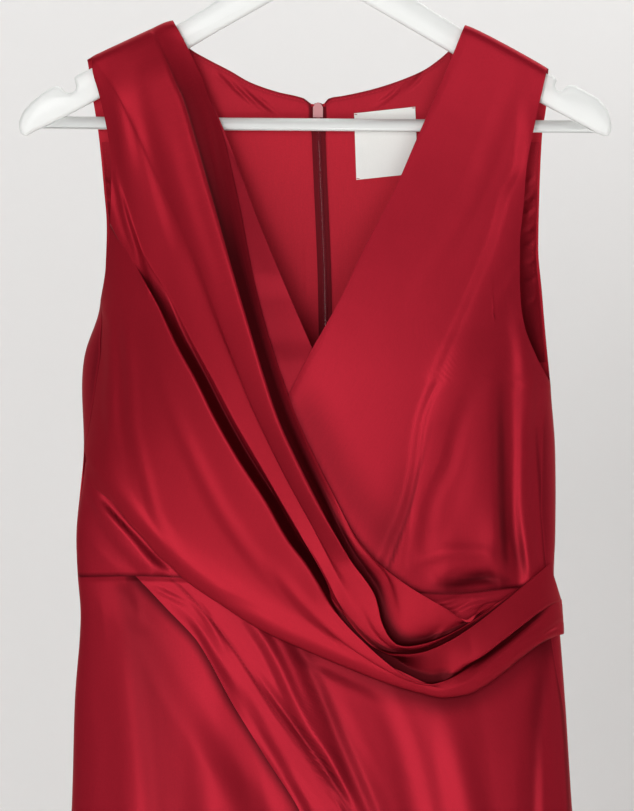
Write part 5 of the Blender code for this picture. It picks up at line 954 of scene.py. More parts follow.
def drape():
    u = np.linspace(0.0, 1.0, DRAPE_COLUMNS + 1)
    share = 1.0 - (1.0 - u ** DRAPE_START_CROWD) ** DRAPE_END_CROWD
    places = [k + i / count for k, count in enumerate(DRAPE_ROWS) for i in range(count)]
    places = np.array(places + [len(DRAPE_ROWS)])
    along = [[], [], []]
    for name, points in DRAPE_FOLDS:
        at = chord_places(points)
        table = [(p[0], p[1] - float(drape_top(p[0])), p[2]) for p in points]
        for k in range(3):
            values = [max(row[k], 0.0) if k == 1 else row[k] for row in table]
            along[k].append(smooth_read(at, values, share))
    x, below, lift = (across_folds(np.array(values), places) for values in along)
    drop = below + drape_top(x)
    eased = (drop[:, 0] < DRAPE_SEAM_END) & (places < DRAPE_CORNER_FOLD)
    start_drop = drop[:, 0]
    side_x = np.where(start_drop < LEFT_ARMHOLE_DROP, read(LEFT_FRONT_ARMHOLE, 1, start_drop),
                      seam_x(start_drop, True) + seam_share(start_drop, True)
                      + DRAPE_SEAM_SPACE * soft_step(start_drop, *DRAPE_SEAM_SPACE_DROPS))
    shift = np.where(eased, side_x - x[:, 0], 0.0)
    x = x + shift[:, None] * np.maximum(1.0 - share / DRAPE_SHIFT_SHARE, 0.0)[None, :]
    lift = lift + crease_relief(DRAPE_CREASES, x, drop) * soft_step(share, 0.0, DRAPE_CREASE_START)[None, :]
    points = form_point(x, drop, lift, True)
    space = np.full(x.shape, SEAM * 0.5)
    space[:, 0] += ARMHOLE_END_SPACE * between(start_drop, *DRAPE_ARMHOLE_END)
    points[..., 1] = np.minimum(points[..., 1], back_shift(x, drop) - space)
    return points


def back_top(x):
    """Shoulder line outside the neck points, neck edge between them."""
    outside = (x < BACK_NECK[0][0]) | (x > BACK_NECK[-1][0])
    return np.where(outside, shoulder_drop(x), read(BACK_NECK, 1, x))


def back_side_angle(drop, on_left):
    """Angle of the side seam on the back: below 0 it lies on the front side."""
    share = (1.0 - seam_inset(drop, on_left) / half_width(drop, on_left)) ** (1.0 / SIDE_FLATNESS)
    return -np.arccos(np.minimum(share, 1.0))


def back_angles(start, end, columns, on_left):
    """Column angles from the side to the middle, with close ones at the neck point."""
    before = round(columns * SIDE_COLUMNS_SHARE)
    after = columns - before - 2
    point_x, drop = BACK_NECK[0 if on_left else -1]
    width = half_width(drop, on_left)
    outer, middle, inner = (np.arccos(((abs(point_x) - step) / width) ** (1.0 / SIDE_FLATNESS))
                            for step in NECK_POINT_STEPS)
    side = mix(start, outer, np.linspace(0.0, 1.0, before + 1)[None, :])
    rest = mix(inner, end, np.linspace(0.0, 1.0, after + 1)[None, :])
    return np.concatenate([side, np.full((len(side), 1), middle), rest], axis=1)


def back_panel(on_left, side_x, side_drop, centre_x, centre_drop, columns, lift_at, bend):
    """Grid of a back piece from the side to the middle, round the side where it must."""
    mirror = toward_middle(on_left)
    is_seam = np.isnan(side_x)
    real_x = np.where(is_seam, seam_x(side_drop, on_left), side_x)
    width = half_width(bend(real_x, side_drop), on_left)
    share = np.minimum(np.abs(real_x) / width, 1.0) ** (1.0 / SIDE_FLATNESS)
    seam_start = back_side_angle(bend(real_x, side_drop), on_left)
    start = np.where(is_seam, seam_start, np.arccos(share))
    outer_x = np.where(is_seam, -mirror * half_width(side_drop, on_left), side_x)
    centre_angle = side_angle(mirror * centre_x, centre_drop)
    angle = back_angles(start, centre_angle, columns, on_left)
    c = np.cos(angle)
    drop = mix(side_drop, centre_drop, np.linspace(0.0, 1.0, angle.shape[1])[None, :])
    for _ in range(4):
        wide = half_width(drop, (c > 0.0) == on_left)
        x = -mirror * np.sign(c) * wide * np.abs(c) ** SIDE_FLATNESS
        t = np.clip((x - outer_x) / (centre_x - outer_x), 0.0, 1.0)
        drop = bend(x, mix(side_drop, centre_drop, t))
    x[:, -1:] = centre_x
    drop[:, -1:] = bend(centre_x, centre_drop)
    points = form_point(x, drop, lift_at(x, drop), angle < 0.0)
    step = points[:, 1] - points[:, 0]
    size = np.linalg.norm(step, axis=1, keepdims=True)
    points[:, 0] += np.where(is_seam, step / size * SEAM * 0.55, 0.0)
    return points


def back_gap(drop):
    """Half the space between the two backs; wider at the top for the slider."""
    closed = soft_step(drop, SLIDER_NOTCH_DROP, SLIDER_NOTCH_DROP + 8.0)
    return mix(SLIDER_NOTCH, BACK_SEAM * 0.5, closed)


def centre_back_x(drop):
    return read(CENTRE_BACK, 1, drop)


def middle_edge_x(drop, on_left):
    """Inner edge of a back piece or of a zip tape."""
    return centre_back_x(drop) - toward_middle(on_left) * back_gap(drop)


def back_piece(on_left, ends, v, top, bottom, columns, folds, creases, growth=0.0, armhole=None):
    """A piece of the back between its four corners, with an armhole or none."""
    (top_side, top_centre), (end_side, end_centre) = ends
    v = v[:, None]
    side_drop, centre_drop = mix(top_side[1], end_side[1], v), mix(top_centre[1], end_centre[1], v)
    side_x = np.full(v.shape, np.nan)
    if armhole:
        side_x = np.where(side_drop < armhole[-1][0] - 0.5, read(armhole, 1, side_drop), np.nan)

    def bend(x, drop):
        return bend_ends(x, v, drop, ends, top, bottom)

    def lift(x, drop):
        return relief(folds, creases, x, drop, growth)

    return back_panel(on_left, side_x, side_drop, middle_edge_x(centre_drop, on_left), centre_drop,
                      columns, lift, bend)


def back_bodice(on_left):
    armhole = LEFT_BACK_ARMHOLE if on_left else RIGHT_BACK_ARMHOLE
    corner_x, side_x = armhole[0][1], -toward_middle(on_left) * BACK_SIDE_X
    ends = (((corner_x, float(back_top(corner_x))), (0.0, BACK_NECK_DROP)),
            ((side_x, float(waist_drop(side_x))), (BACK_MIDDLE_X, float(waist_drop(BACK_MIDDLE_X)))))
    points = back_piece(on_left, ends, panel_rows(BODICE_ROWS), back_top, waist_drop, BACK_BODICE_COLUMNS,
                        BACK_BODICE_FOLDS, BACK_BODICE_CREASES, armhole=armhole)
    points[0, :, 1] = np.maximum(points[0, :, 1], SEAM * 0.5)
    return points


def skirt_rows():
    return (np.arange(SKIRT_ROWS + 1) / SKIRT_ROWS) ** SKIRT_ROW_CROWD


def skirt_top(x):
    """The skirt starts at the waist seam of the bodice."""
    return waist_drop(x) + SEAM


def hem_drop(x):
    return np.full(np.shape(x), HEM_DROP)


def under_skirt_lift(x, drop):
    """The covered part of the lower skirt front hangs behind, further apart towards the hem."""
    edge = read(WRAP_EDGE, 1, drop)
    apart = UNDER_SKIRT_SPACE + UNDER_SKIRT_APART * soft_step(drop, *UNDER_SKIRT_DROPS)
    start, end = (edge - before for before in UNDER_SKIRT_START)
    return -apart * soft_step(x, start, end)


def skirt_front_lift(on_left, x, drop):
    creases = SKIRT_FRONT_RIGHT_CREASES if on_left else SKIRT_FRONT_LEFT_CREASES
    soft = relief(SKIRT_FOLDS, creases, x, drop, FOLD_GROWTH_DROP)
    return soft + (under_skirt_lift(x, drop) if on_left else 0.0)


def skirt_front(on_left):
    """The lower front, at the left of the picture, or the upper front that wraps over it."""
    side_x = RIGHT_FRONT_WAIST[0] if on_left else LEFT_FRONT_WAIST[1]
    inner_table = UNDER_SKIRT_EDGE if on_left else WRAP_EDGE

    def seam(v):
        drop = mix(float(skirt_top(side_x)), HEM_DROP, v)
        return seam_x(drop, on_left) + toward_middle(on_left) * seam_share(drop, on_left), drop

    def lift(x, drop):
        return skirt_front_lift(on_left, x, drop)

    inner = table_edge(inner_table, float(skirt_top(inner_table[0][1])), HEM_DROP)
    edges = (seam, inner) if on_left else (inner, seam)
    columns = LOWER_SKIRT_COLUMNS if on_left else UPPER_SKIRT_COLUMNS
    points = front_panel(*edges, skirt_rows(), columns, lift, skirt_top, hem_drop)
    return keep_in_front(points, 0 if on_left else -1)


def skirt_back(on_left):
    outward = -toward_middle(on_left)
    side_x = outward * BACK_SIDE_X
    ends = (((side_x, float(skirt_top(side_x))), (BACK_MIDDLE_X, float(skirt_top(BACK_MIDDLE_X)))),
            ((outward * HEM_SIDE_X, HEM_DROP), (BACK_MIDDLE_X, HEM_DROP)))
    return back_piece(on_left, ends, skirt_rows(), skirt_top, hem_drop, BACK_SKIRT_COLUMNS,
                      BACK_SKIRT_FOLDS, BACK_SKIRT_CREASES, FOLD_GROWTH_DROP)


def neck_facing_lift(x, drop):
    return TRIM_LIFT + crease_relief(NECK_FACING_CREASES, x, drop)


def neck_facing(on_left):
    """Facing inside the back neck, from near the shoulder to the zip tape."""
    mirror = toward_middle(on_left)
    inner = centre_back_x(70.0) - mirror * (SLIDER_NOTCH + TAPE_WIDTH * 0.7 + GAP)
    x = np.linspace(-mirror * NECK_FACING_OUTER[on_left], inner, 121)[None, :]
    drop = mix(read(BACK_NECK, 1, x) + 0.5, NECK_FACING_END, np.linspace(0.0, 1.0, 31)[:, None])
    return form_point(x, drop, neck_facing_lift(x, drop), False)


def armhole_facing_place(on_left, drop, inward):
    """Places on the facing inside the back armhole, so far in from the armhole edge."""
    armhole = LEFT_BACK_ARMHOLE if on_left else RIGHT_BACK_ARMHOLE
    x = read(armhole, 1, drop) + toward_middle(on_left) * inward
    lift = ARMHOLE_FACING_LIFT + crease_relief(ARMHOLE_FACING_CREASES, np.abs(x), drop)
    return form_point(x, drop, lift, False)


def armhole_facing(on_left):
    armhole_drop = LEFT_ARMHOLE_DROP if on_left else RIGHT_ARMHOLE_DROP
    v = np.linspace(0.0, 1.0, 91)[:, None]
    inward = mix(ARMHOLE_FACING_START, mix(*ARMHOLE_FACING_WIDTHS, v), np.linspace(0.0, 1.0, 25)[None, :])
    drop = mix(ARMHOLE_FACING_DROP, armhole_drop - ARMHOLE_FACING_END, v)
    return armhole_facing_place(on_left, drop, inward)


def tape_lift(x, drop):
    return TRIM_LIFT + fold_relief(BACK_SKIRT_FOLDS, x, drop, FOLD_GROWTH_DROP)


def zip_tape(on_left):
    drop = np.linspace(TAPE_START_DROP, ZIP_END_DROP, 121)[:, None]
    near = middle_edge_x(drop, on_left)
    x = mix(near - toward_middle(on_left) * TAPE_WIDTH, near, np.linspace(0.0, 1.0, 5)[None, :])
    return form_point(x, drop, tape_lift(x, drop), False)


def label_lift(drop):
    """The label lies on the neck facing at its top and on the back below."""
    return TRIM_LIFT - (TRIM_WALL + GAP) * fade_out(drop, *LABEL_FACING_END)


def label_sheet():
    top_left, top_right, bottom_right, bottom_left = LABEL_CORNERS
    u, v = np.meshgrid(np.linspace(0.0, 1.0, 41), np.linspace(0.0, 1.0, 41))
    x, drop = (mix(mix(top_left[k], top_right[k], u), mix(bottom_left[k], bottom_right[k], u), v)
               for k in (0, 1))
    curl = 0.5 * np.sin(math.pi * u) * v + 0.6 * (1.0 - v) ** 8
    return form_point(x, drop, label_lift(drop) - curl, False)


# Materials

class Wire:
    """A shader value; Python's arithmetic on it adds Math nodes."""

    def __init__(self, tree, socket=None):
        self.tree = tree
        self.socket = socket

    def node(self, kind, settings=None, inputs=None, output=0):
        """Add a node: its settings go in first, then the value or link of each input."""
        made = self.tree.nodes.new("ShaderNode" + kind)
        for name, value in (settings or {}).items():
            if name == "stops":
                for stop, (place, color) in zip(made.color_ramp.elements, value):
                    stop.position, stop.color = place, color
            else:
                setattr(made, name, value)
        for name, value in (inputs or {}).items():
            if isinstance(value, Wire):
                self.tree.links.new(value.socket, made.inputs[name])
            else:
                made.inputs[name].default_value = value
        return Wire(self.tree, made.outputs[output])

    def math(self, operation, a, b=0.0):
        return self.node("Math", {"operation": operation}, {0: a, 1: b})

    def __add__(self, other):
        return self.math("ADD", self, other)

    def __mul__(self, other):
        return self.math("MULTIPLY", self, other)

    __radd__ = __add__
    __rmul__ = __mul__


def new_material(name, color, roughness, metallic=0.0):
    """A material with its plain values set on the shader itself."""
    material = bpy.data.materials.new(name)
    material.use_nodes = True
    shader = material.node_tree.nodes["Principled BSDF"]
    shader.inputs["Base Color"].default_value = (*color, 1.0)
    shader.inputs["Roughness"].default_value = roughness
    shader.inputs["Metallic"].default_value = metallic
    return material, shader, Wire(material.node_tree)


def stretched(start, vector, scale):
    return start.node("Mapping", None, {"Vector": vector, "Scale": scale})


def noise(start, vector, scale, detail=2.0):
    """Soft noise from 0 to 1 on a pattern vector."""
    return start.node("TexNoise", None, {"Vector": vector, "Scale": scale, "Detail": detail})


def mixed_color(start, share, first, second):
    return start.node("Mix", {"data_type": "RGBA"}, {"Factor": share, "A": first, "B": second}, 2)


def tinted(start, color, low, high, share):
    """The colour made darker or lighter by a share that runs from 0 to 1."""
    dark = [c * low for c in color] + [1.0]
    light = [min(c * high, 1.0) for c in color] + [1.0]
    return mixed_color(start, share, dark, light)


def link(start, value, shader, name):
    start.tree.links.new(value.socket, shader.inputs[name])


# Painted shade: DEEP_SHARE of the colour is left where the fold_shade attribute is full.
DEEP_SHARE = 0.2           # colour that is left deep between the folds
SHINE_RANGE = 0.06         # how much the roughness changes over the satin
METAL_TINT = (1.0, 0.35, 0.38, 1.0)
PLAIN_TINT = (1.0, 1.0, 1.0, 1.0)
THREAD_SCALE = (1600.0, 60.0, 1.0)
FILLING_SCALE = (90.0, 2200.0, 1.0)


def satin(name, color, roughness, metallic, weave=0.3, uneven=0.28):
    """Red satin: threads along the piece, a slight ripple, a slightly uneven shine, and painted shade."""
    material, shader, start = new_material(name, color, roughness, metallic)
    shader.inputs["Specular IOR Level"].default_value = 0.12
    shader.inputs["Specular Tint"].default_value = METAL_TINT if metallic else PLAIN_TINT
    grain = start.node("UVMap", {"uv_map": "cloth"})
    place = start.node("TexCoord", output=3)
    threads = noise(start, stretched(start, grain, THREAD_SCALE), 1.0)
    filling = noise(start, stretched(start, grain, FILLING_SCALE), 1.0)
    ripple = noise(start, place, 42.0)
    patches = noise(start, place, 9.0, 1.0)
    speckle = noise(start, place, 1100.0, 1.0)
    spread = threads * 0.35 + speckle * 0.45 + patches * 0.2
    even = tinted(start, color, 1.0 - uneven, 1.0 + uneven, spread)
    # Painted shade: where the fold_shade attribute is high, the base colour goes dark towards deep.
    shade = start.node("Attribute", {"attribute_name": "fold_shade"}, output=2)
    deep = [c * DEEP_SHARE for c in color] + [1.0]
    link(start, mixed_color(start, shade, even, deep), shader, "Base Color")
    shine = roughness - SHINE_RANGE * 0.5 + patches * SHINE_RANGE * 0.6 + threads * SHINE_RANGE * 0.4
    link(start, shine, shader, "Roughness")
    height = threads * weave + filling * weave * 0.6 + ripple * 6.0
    bump = start.node("Bump", None, {"Height": height, "Strength": 0.35, "Distance": 0.00012})
    link(start, bump, shader, "Normal")
    return material


def plain_gloss(name, color, roughness, metallic=0.0):
    """A moulded or metal face with a slightly uneven shine."""
    material, shader, start = new_material(name, color, roughness, metallic)
    place = start.node("TexCoord", output=3)
    patches = noise(start, place, 24.0)
    link(start, tinted(start, color, 0.985, 1.015, patches), shader, "Base Color")
    link(start, roughness - 0.03 + patches * 0.06, shader, "Roughness")
    return material


# Pieces

def select_only(item):
    bpy.ops.object.select_all(action="DESELECT")
    item.select_set(True)
    bpy.context.view_layer.objects.active = item


def apply_modifiers(item):
    select_only(item)
    for modifier in list(item.modifiers):
        bpy.ops.object.modifier_apply(modifier=modifier.name)


SHADE_SLOPES = (0.35, 1.35)   # from how steep a rise beside it the satin turns darker
SHADE_REACH = 20.0            # how far off that rise may be
SHADE_STEPS = (1, 2, 3, 4, 6, 8, 11, 14, 18, 23, 30)
SHADE_SIDE_ROOM = (2.0, 18.0)   # no such shade right at the sides


def fold_shade(points, axis, at_front, shades):
    """Painted shade, 0 to 1: how far each place is shut in by higher folds beside it, or by the shades
    given.
    """
    x, drop = points[..., 0], SHOULDER_Z - points[..., 2]
    relief = np.abs(points[..., 1] - form_point(x, drop, 0.0, at_front)[..., 1])
    lines = np.stack([x, drop, relief], axis=-1)
    lines = lines if axis == 0 else lines.swapaxes(0, 1)
    steepest = np.zeros(lines.shape[:2])
    for step in SHADE_STEPS:
        apart = lines[step:] - lines[:-step]
        far = np.hypot(apart[..., 0], apart[..., 1])
        rise = np.where(far < SHADE_REACH, -apart[..., 2] / np.maximum(far, 0.8), 0.0)
        steepest[step:] = np.maximum(steepest[step:], rise)
        steepest[:-step] = np.maximum(steepest[:-step], -rise)
    shade = steepest if axis == 0 else steepest.swapaxes(0, 1)
    room = half_width(drop, x < 0.0) - np.abs(x)
    open_share = 1.0 - soft_step(shade, *SHADE_SLOPES) * soft_step(room, *SHADE_SIDE_ROOM)
    for line in shades:
        open_share = open_share * (1.0 - crease_relief((line,), x, drop))
    return 1.0 - open_share


SMOOTH_ANGLE = math.radians(50.0)


def thin_shell(name, points, outward, face, reverse, thickness, across, shades):
    """A thin cloth shell on a grid of places; outward is -1 or 1 along y for its face side.

    across is the grid's axis that runs across the folds.
    """
    rows, columns = points.shape[:2]
    flat = (points * MM).reshape(-1, 3)
    numbers = np.arange(rows * columns).reshape(rows, columns)
    quads = np.stack([numbers[:-1, :-1], numbers[1:, :-1], numbers[1:, 1:], numbers[:-1, 1:]], axis=-1)
    quads = quads.reshape(-1, 4)
    down = points[1:, :-1] - points[:-1, :-1]
    aside = points[:-1, 1:] - points[:-1, :-1]
    if np.cross(down, aside)[..., 1].sum() * outward < 0.0:
        quads = quads[:, ::-1]
    mesh = bpy.data.meshes.new(name)
    mesh.from_pydata(flat.tolist(), [], quads.tolist())
    along_u = np.linalg.norm(np.diff(points, axis=1), axis=-1).mean(axis=0)
    along_v = np.linalg.norm(np.diff(points, axis=0), axis=-1).mean(axis=1)
    u = np.concatenate([[0.0], np.cumsum(along_u)]) * MM
    v = np.concatenate([[0.0], np.cumsum(along_v)]) * MM
    cloth = np.stack(np.broadcast_arrays(u[None, :], v[:, None]), axis=-1).reshape(-1, 2)
    layer = mesh.uv_layers.new(name="cloth")
    layer.data.foreach_set("uv", cloth[quads.reshape(-1)].astype(np.float32).reshape(-1))
    # Painted shade: how far the satin's colour is darkened at each place, read by the material.
    shade = mesh.attributes.new("fold_shade", "FLOAT", "POINT")
    values = fold_shade(points, across, outward < 0.0, shades)
    shade.data.foreach_set("value", values.astype(np.float32).reshape(-1))
    mesh.materials.append(face)
    mesh.materials.append(reverse)
    item = bpy.data.objects.new(name, mesh)
    bpy.context.collection.objects.link(item)
    wall = item.modifiers.new("wall", "SOLIDIFY")
    wall.thickness = thickness * MM
    wall.offset = 0.0
    wall.material_offset = 1
    apply_modifiers(item)
    bpy.ops.object.shade_smooth_by_angle(angle=SMOOTH_ANGLE)
    return item


def merged_copy(name, node, material):
    """A copy of a CAD node with its points merged, to be shown in its place."""
    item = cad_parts[node].copy()
    item.data = item.data.copy()
    item.name = item.data.name = name
    item.parent = None
    for key in list(item.keys()):
        del item[key]
    bpy.context.collection.objects.link(item)
    select_only(item)
    bpy.ops.object.mode_set(mode="EDIT")
    bpy.ops.mesh.select_all(action="SELECT")
    bpy.ops.mesh.remove_doubles(threshold=0.00001)
    bpy.ops.object.mode_set(mode="OBJECT")
    bpy.ops.object.shade_smooth_by_angle(angle=math.radians(40.0))
    item.data.materials.clear()
    item.data.materials.append(material)
    return item


NARROWEST_SHEET = 0.01     # a sheet's flat width is named as at least this, in metres


def measured(points):
    """Width, length and area in metres of a small sheet that lies as it was cut."""
    across = np.linalg.norm(np.diff(points, axis=1), axis=-1).sum(axis=1).max() * MM
    down = np.linalg.norm(np.diff(points, axis=0), axis=-1).sum(axis=0).max() * MM
    sides = points[1:, :-1] - points[:-1, :-1], points[:-1, 1:] - points[:-1, :-1]
    area = np.linalg.norm(np.cross(*sides), axis=-1).sum() * MM * MM
    return (round(float(across), 4), round(float(down), 4)), round(float(area), 6)


def joined(name, pieces):
    """Join pieces into the first one, at the origin and unturned."""
    select_only(pieces[0])
    for piece in pieces:
        piece.select_set(True)
    bpy.ops.object.join()
    bpy.ops.object.transform_apply(location=True, rotation=True, scale=True)
    item = bpy.context.object
    item.name = item.data.name = name
    return item


def copies_along(name, first, path, step):
    """Copies of a small piece, its length along z, at even steps on a path of places in mm."""
    along = np.concatenate([[0.0], np.cumsum(np.linalg.norm(np.diff(path, axis=0), axis=1))])
    made = []
    for at in np.arange(0.0, along[-1], step):
        here, ahead = (Vector([np.interp(a, along, path[:, k]) for k in range(3)])
                       for a in (at, at + 0.5))
        copy = first.copy()
        copy.location = here * MM
        copy.rotation_euler = (ahead - here).to_track_quat("Z", "Y").to_euler()
        bpy.context.collection.objects.link(copy)
        made.append(copy)
    made[0].data = first.data.copy()
    bpy.data.objects.remove(first)
    return joined(name, made)


def thread_stitch(length, thick, material):
    """One stitch, its length along z."""
    bpy.ops.object.select_all(action="DESELECT")
    bpy.ops.mesh.primitive_uv_sphere_add(segments=6, ring_count=5, radius=0.5 * MM)
    item = bpy.context.object
    item.scale = (thick, thick, length)
    bpy.ops.object.transform_apply(location=True, rotation=True, scale=True)
    bpy.ops.object.shade_smooth()
    item.data.materials.append(material)
    return item


STITCH_LENGTH = 1.7
WRAP_STITCHES = (2.0, 0.4)      # gap and thickness
UNDERSTITCHES = (1.3, 0.34)
NECK_STITCH_INSET = 2.6         # below the neck edge
ARMHOLE_STITCH_INSET = 4.2      # in from the armhole edge


def stitch_row(name, path, gap, thick):
    stitch = thread_stitch(STITCH_LENGTH, thick, thread_red)
    item = copies_along(name, stitch, path, STITCH_LENGTH + gap)
    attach(item, DRESS)


COIL_TOOTH = (3.4, 1.0, 0.85)   # across, deep, along
COIL_STEP = 1.35
COIL_SPACE = 0.75          # the coil's middle stands this far off the tapes


def coil_tooth(material):
    """One tooth of the zip coil: a rounded bar across the opening."""
    bpy.ops.object.select_all(action="DESELECT")
    bpy.ops.mesh.primitive_cube_add(size=MM)
    item = bpy.context.object
    item.scale = COIL_TOOTH
    bpy.ops.object.transform_apply(location=True, rotation=True, scale=True)
    round_edges(item, 0.25, 1)
    item.data.materials.append(material)
    return item


def round_edges(item, width, segments=2):
    bevel = item.modifiers.new("edges", "BEVEL")
    bevel.width = width * MM
    bevel.segments = segments
    bevel.limit_method = "ANGLE"
    bevel.angle_limit = math.radians(30.0)
    apply_modifiers(item)
    bpy.ops.object.shade_smooth_by_angle(angle=SMOOTH_ANGLE)


SLIDER_BANDS = ((0.96, 1.01, 0.15), (0.78, 0.88, 0.75))   # from, to, share of the width left


def taper_slider(item):
    """Draw the slider's upper end together to its blunt point, and its lower end a little."""
    spots = [vertex.co.copy() for vertex in item.data.vertices]
    top, bottom = max(s.z for s in spots), min(s.z for s in spots)
    middle = (max(s.x for s in spots) + min(s.x for s in spots)) / 2.0
    select_only(item)
    bpy.ops.object.mode_set(mode="EDIT")
    bpy.ops.mesh.select_all(action="SELECT")
    bpy.ops.mesh.subdivide(number_cuts=5)
    bpy.ops.mesh.select_mode(type="VERT")
    bpy.ops.mesh.select_all(action="DESELECT")
    bpy.ops.object.mode_set(mode="OBJECT")
    for low, high, width in SLIDER_BANDS:
        for vertex in item.data.vertices:
            vertex.select = low < (vertex.co.z - bottom) / (top - bottom) < high
        bpy.ops.object.mode_set(mode="EDIT")
        bpy.ops.transform.resize(value=(width, 1.0, 1.0), center_override=(middle, 0.0, 0.0))
        bpy.ops.mesh.select_all(action="DESELECT")
        bpy.ops.object.mode_set(mode="OBJECT")


RED = (0.318, 0.0105, 0.0225)
red_satin = satin("cherry_satin", RED, 0.44, 0.4)
# The drape's satin is a slightly darker copy of the same satin: painted shade for the drape's duller sheen.
drape_satin = satin("drape_satin", (0.31, 0.0098, 0.0205), 0.43, 0.42)
facing_satin = satin("facing_satin", (0.31, 0.0110, 0.0220), 0.45, 0.3)
red_reverse = satin("satin_reverse", (0.49, 0.0165, 0.033), 0.75, 0.0)
tape_red = satin("woven_tape", (0.135, 0.005, 0.010), 0.8, 0.0, weave=1.2)
coil_red = satin("zip_coil_red", (0.20, 0.016, 0.026), 0.6, 0.0)
thread_red = satin("red_thread", (0.40, 0.014, 0.026), 0.55, 0.1)
label_white = satin("label_weave", (0.88, 0.88, 0.85), 0.8, 0.0, weave=0.5, uneven=0.05)
white_gloss = plain_gloss("white_hanger_gloss", (0.88, 0.89, 0.87), 0.34)
enamel = plain_gloss("pink_enamel", (0.55, 0.19, 0.20), 0.35)
hook_steel = plain_gloss("hook_steel", (0.72, 0.72, 0.73), 0.25, 1.0)


def cloth_piece(name, node, points, outward, flat, area, face=red_satin,
                reverse=red_reverse, thickness=SATIN, across=1, shades=()):
    item = thin_shell(name, points, outward, face, reverse, thickness, across, shades)
    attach(item, DRESS)
    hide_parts(node)


def trim_piece(name, node, points, face, reverse, thickness=SATIN, shades=()):
    """A small flat sheet inside the back, its face to the front."""
    flat, area = measured(points)
    flat = (max(flat[0], NARROWEST_SHEET), flat[1])
    cloth_piece(name, node, points, -1, flat, area, face, reverse,
                thickness, shades=shades)


cloth_piece("satin_drape", "front_drape", drape(), -1, (0.34, 0.60), 0.085,
            face=drape_satin, across=0)
cloth_piece("satin_front_left", "front_bodice_left", left_front(), -1, (0.30, 0.44), 0.066,
            shades=LEFT_FRONT_SHADES + (WAIST_SHADE,))
cloth_piece("satin_front_right", "front_bodice_right", right_front(), -1, (0.27, 0.44), 0.062,
            shades=RIGHT_FRONT_SHADES + (WAIST_SHADE,))
cloth_piece("satin_skirt_front_left", "skirt_front_left", skirt_front(False), -1, (0.36, 1.0), 0.22,
            shades=SKIRT_LEFT_SHADES + (WAIST_SHADE, STITCH_SHADE))
cloth_piece("satin_skirt_front_right", "skirt_front_right", skirt_front(True), -1, (0.55, 1.0), 0.39,
            shades=SKIRT_RIGHT_SHADES + (WAIST_SHADE, WRAP_SHADE))
for side, on_left in (("right", True), ("left", False)):
    cloth_piece("satin_back_" + side, "back_bodice_" + side, back_bodice(on_left), 1,
                (0.22, 0.42), 0.069)
    cloth_piece("satin_skirt_back_" + side, "skirt_back_" + side, skirt_back(on_left), 1,
                (0.32, 1.0), 0.25)
    trim_piece("facing_neck_" + side, "neck_facing_" + side, neck_facing(on_left), facing_satin,
               red_reverse, shades=NECK_FACING_SHADES + (NECK_SHADE,))
    trim_piece("facing_armhole_" + side, "armhole_facing_" + side, armhole_facing(on_left),
               facing_satin, red_reverse)
    trim_piece("woven_tape_" + side, "zip_tape_" + side, zip_tape(on_left), tape_red, tape_red,
               TAPE_THICKNESS)
trim_piece("woven_label", "label", label_sheet(), label_white, label_white,
           LABEL_THICKNESS)

# Zip coil down the middle of the tapes
coil_drops = np.linspace(SLIDER_DROP + 8.0, ZIP_END_DROP - 4.0, 160)
coil_x = centre_back_x(coil_drops)
coil_path = form_point(coil_x, coil_drops, tape_lift(coil_x, coil_drops) - COIL_SPACE, False)
zip_coil = copies_along("zip_coil", coil_tooth(coil_red), coil_path, COIL_STEP)
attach(zip_coil, DRESS)

# Stitches: along the wrap's band, and under the edges of the facings
stitch_drops = np.linspace(418.0, HEM_DROP - 6.0, 400)
stitch_x = read(STITCH_LINE, 1, stitch_drops)
stitch_path = form_point(stitch_x, stitch_drops,
                         skirt_front_lift(False, stitch_x, stitch_drops) + SATIN * 0.5, True)
stitch_row("wrap_stitches", stitch_path, *WRAP_STITCHES)
for side, on_left in (("right", True), ("left", False)):
    mirror = toward_middle(on_left)
    x = np.linspace(-mirror * 95.0, -mirror * 8.0, 120)
    drop = read(BACK_NECK, 1, x) + NECK_STITCH_INSET
    path = form_point(x, drop, neck_facing_lift(x, drop) - SATIN * 0.5, False)
    stitch_row("neck_understitches_" + side, path, *UNDERSTITCHES)
    path = armhole_facing_place(on_left, np.linspace(92.0, 185.0, 90), ARMHOLE_STITCH_INSET)
    path[:, 1] -= SATIN * 0.5
    stitch_row("armhole_understitches_" + side, path, *UNDERSTITCHES)
tacks = []
for corner_x, corner_drop in LABEL_CORNERS:
    inward = 1.2 if corner_x < 50.0 else -1.2
    at_top = corner_drop < 90.0
    place = form_point(corner_x + inward, corner_drop + (0.9 if at_top else -0.9),
                       label_lift(corner_drop) - 1.1 + (0.0 if at_top else 0.6), False)
    tack = thread_stitch(2.6, 0.6, thread_red)
    tack.location = Vector(place) * MM
    tack.rotation_euler = (0.0, math.radians(90.0), 0.0)
    tacks.append(tack)
label_tacks = joined("label_tacks", tacks)
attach(label_tacks, DRESS)

# Hard pieces, with their edges rounded and shaded smooth
for name, node, material, slot, width, group in (
        ("gloss_arms", "hanger_arms", white_gloss, "hanger_gloss", 0.0, DRESS),
        ("gloss_bar", "hanger_bar", white_gloss, "hanger_gloss", 0.0, DRESS),
        ("steel_hook", "hanger_hook", hook_steel, "hook_steel", 0.0, DRESS),
        ("enamel_slider", "zip_slider", enamel, "zip_enamel", 0.35, DRESS),
        ("enamel_pull", "zip_pull", enamel, "zip_enamel", 0.25, PULL)):
    item = merged_copy(name, node, material)
    if name == "enamel_slider":
        taper_slider(item)
    if width:
        round_edges(item, width)
    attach(item, group)
    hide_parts(node)

# Stage, light and camera
CAMERA_AWAY = 5.0
PICTURE_HEIGHT = 0.60014   # what the picture takes in from top to bottom, at the hanger
PICTURE_MIDDLE_Z = -0.41807


def stage_plane(name, width, depth, location, rotation, material):
    bpy.ops.mesh.primitive_plane_add(size=1.0, location=location, rotation=rotation)
    item = bpy.context.object
    item.name = name
    item.scale = (width, depth, 1.0)
    bpy.ops.object.transform_apply(location=True, rotation=True, scale=True)
    item.data.materials.append(material)


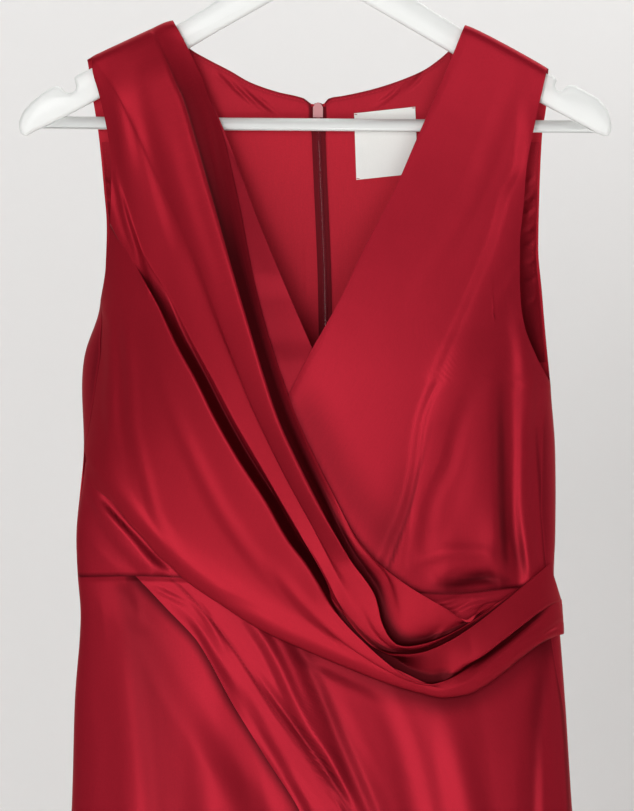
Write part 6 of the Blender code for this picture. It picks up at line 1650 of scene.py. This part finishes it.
def area_light(name, location, target, width, height, power):
    lamp = bpy.data.lights.new(name, "AREA")
    lamp.shape = "RECTANGLE"
    lamp.size, lamp.size_y = width, height
    lamp.energy = power
    item = bpy.data.objects.new(name, lamp)
    item.location = location
    away = Vector(location) - Vector(target)
    item.rotation_euler = away.to_track_quat("Z", "Y").to_euler()
    bpy.context.collection.objects.link(item)


STAGE_COLOR = (0.80, 0.795, 0.785)
pale, pale_shader, pale_start = new_material("pale_stage", STAGE_COLOR, 0.9)
clouds = noise(pale_start, pale_start.node("TexCoord", output=3), 3.0)
link(pale_start, tinted(pale_start, STAGE_COLOR, 0.99, 1.01, clouds), pale_shader, "Base Color")
stage_plane("stage_floor", 12.0, 12.0, (0.0, 0.0, -1.56), (0.0, 0.0, 0.0), pale)
stage_plane("stage_backdrop", 12.0, 8.0, (0.0, 1.6, 0.0), (math.radians(90.0), 0.0, 0.0), pale)

MIDDLE = (0.0, 0.0, -0.45)
area_light("key_light", (-1.1, -5.2, 0.2), MIDDLE, 1.4, 1.4, 79.0)
area_light("front_light", (0.3, -5.5, -1.3), MIDDLE, 4.5, 4.0, 104.0)
area_light("low_light", (-0.2, -2.6, -1.5), (0.02, 0.0, -0.62), 1.8, 1.0, 21.0)
area_light("side_light", (-2.4, -2.6, -0.7), (-0.15, 0.0, -0.5), 1.5, 1.5, 4.0)
area_light("backdrop_light", (2.0, 0.4, 2.8), (1.6, 5.0, 1.4), 6.0, 1.0, 246.0)

world = bpy.data.worlds.new("studio")
bpy.context.scene.world = world
world.use_nodes = True
world.node_tree.nodes["Background"].inputs["Color"].default_value = (1.0, 0.99, 0.98, 1.0)
world.node_tree.nodes["Background"].inputs["Strength"].default_value = 0.2

camera_data = bpy.data.cameras.new("camera")
camera_data.sensor_width = 36.0
camera_data.lens = 36.0 * CAMERA_AWAY / PICTURE_HEIGHT
camera_data.clip_end = 50.0
camera = bpy.data.objects.new("camera", camera_data)
camera.location = (0.0, -CAMERA_AWAY, PICTURE_MIDDLE_Z)
camera.rotation_euler = (math.radians(90.0), 0.0, 0.0)
bpy.context.collection.objects.link(camera)
bpy.context.scene.camera = camera
bpy.context.scene.view_settings.view_transform = "Standard"
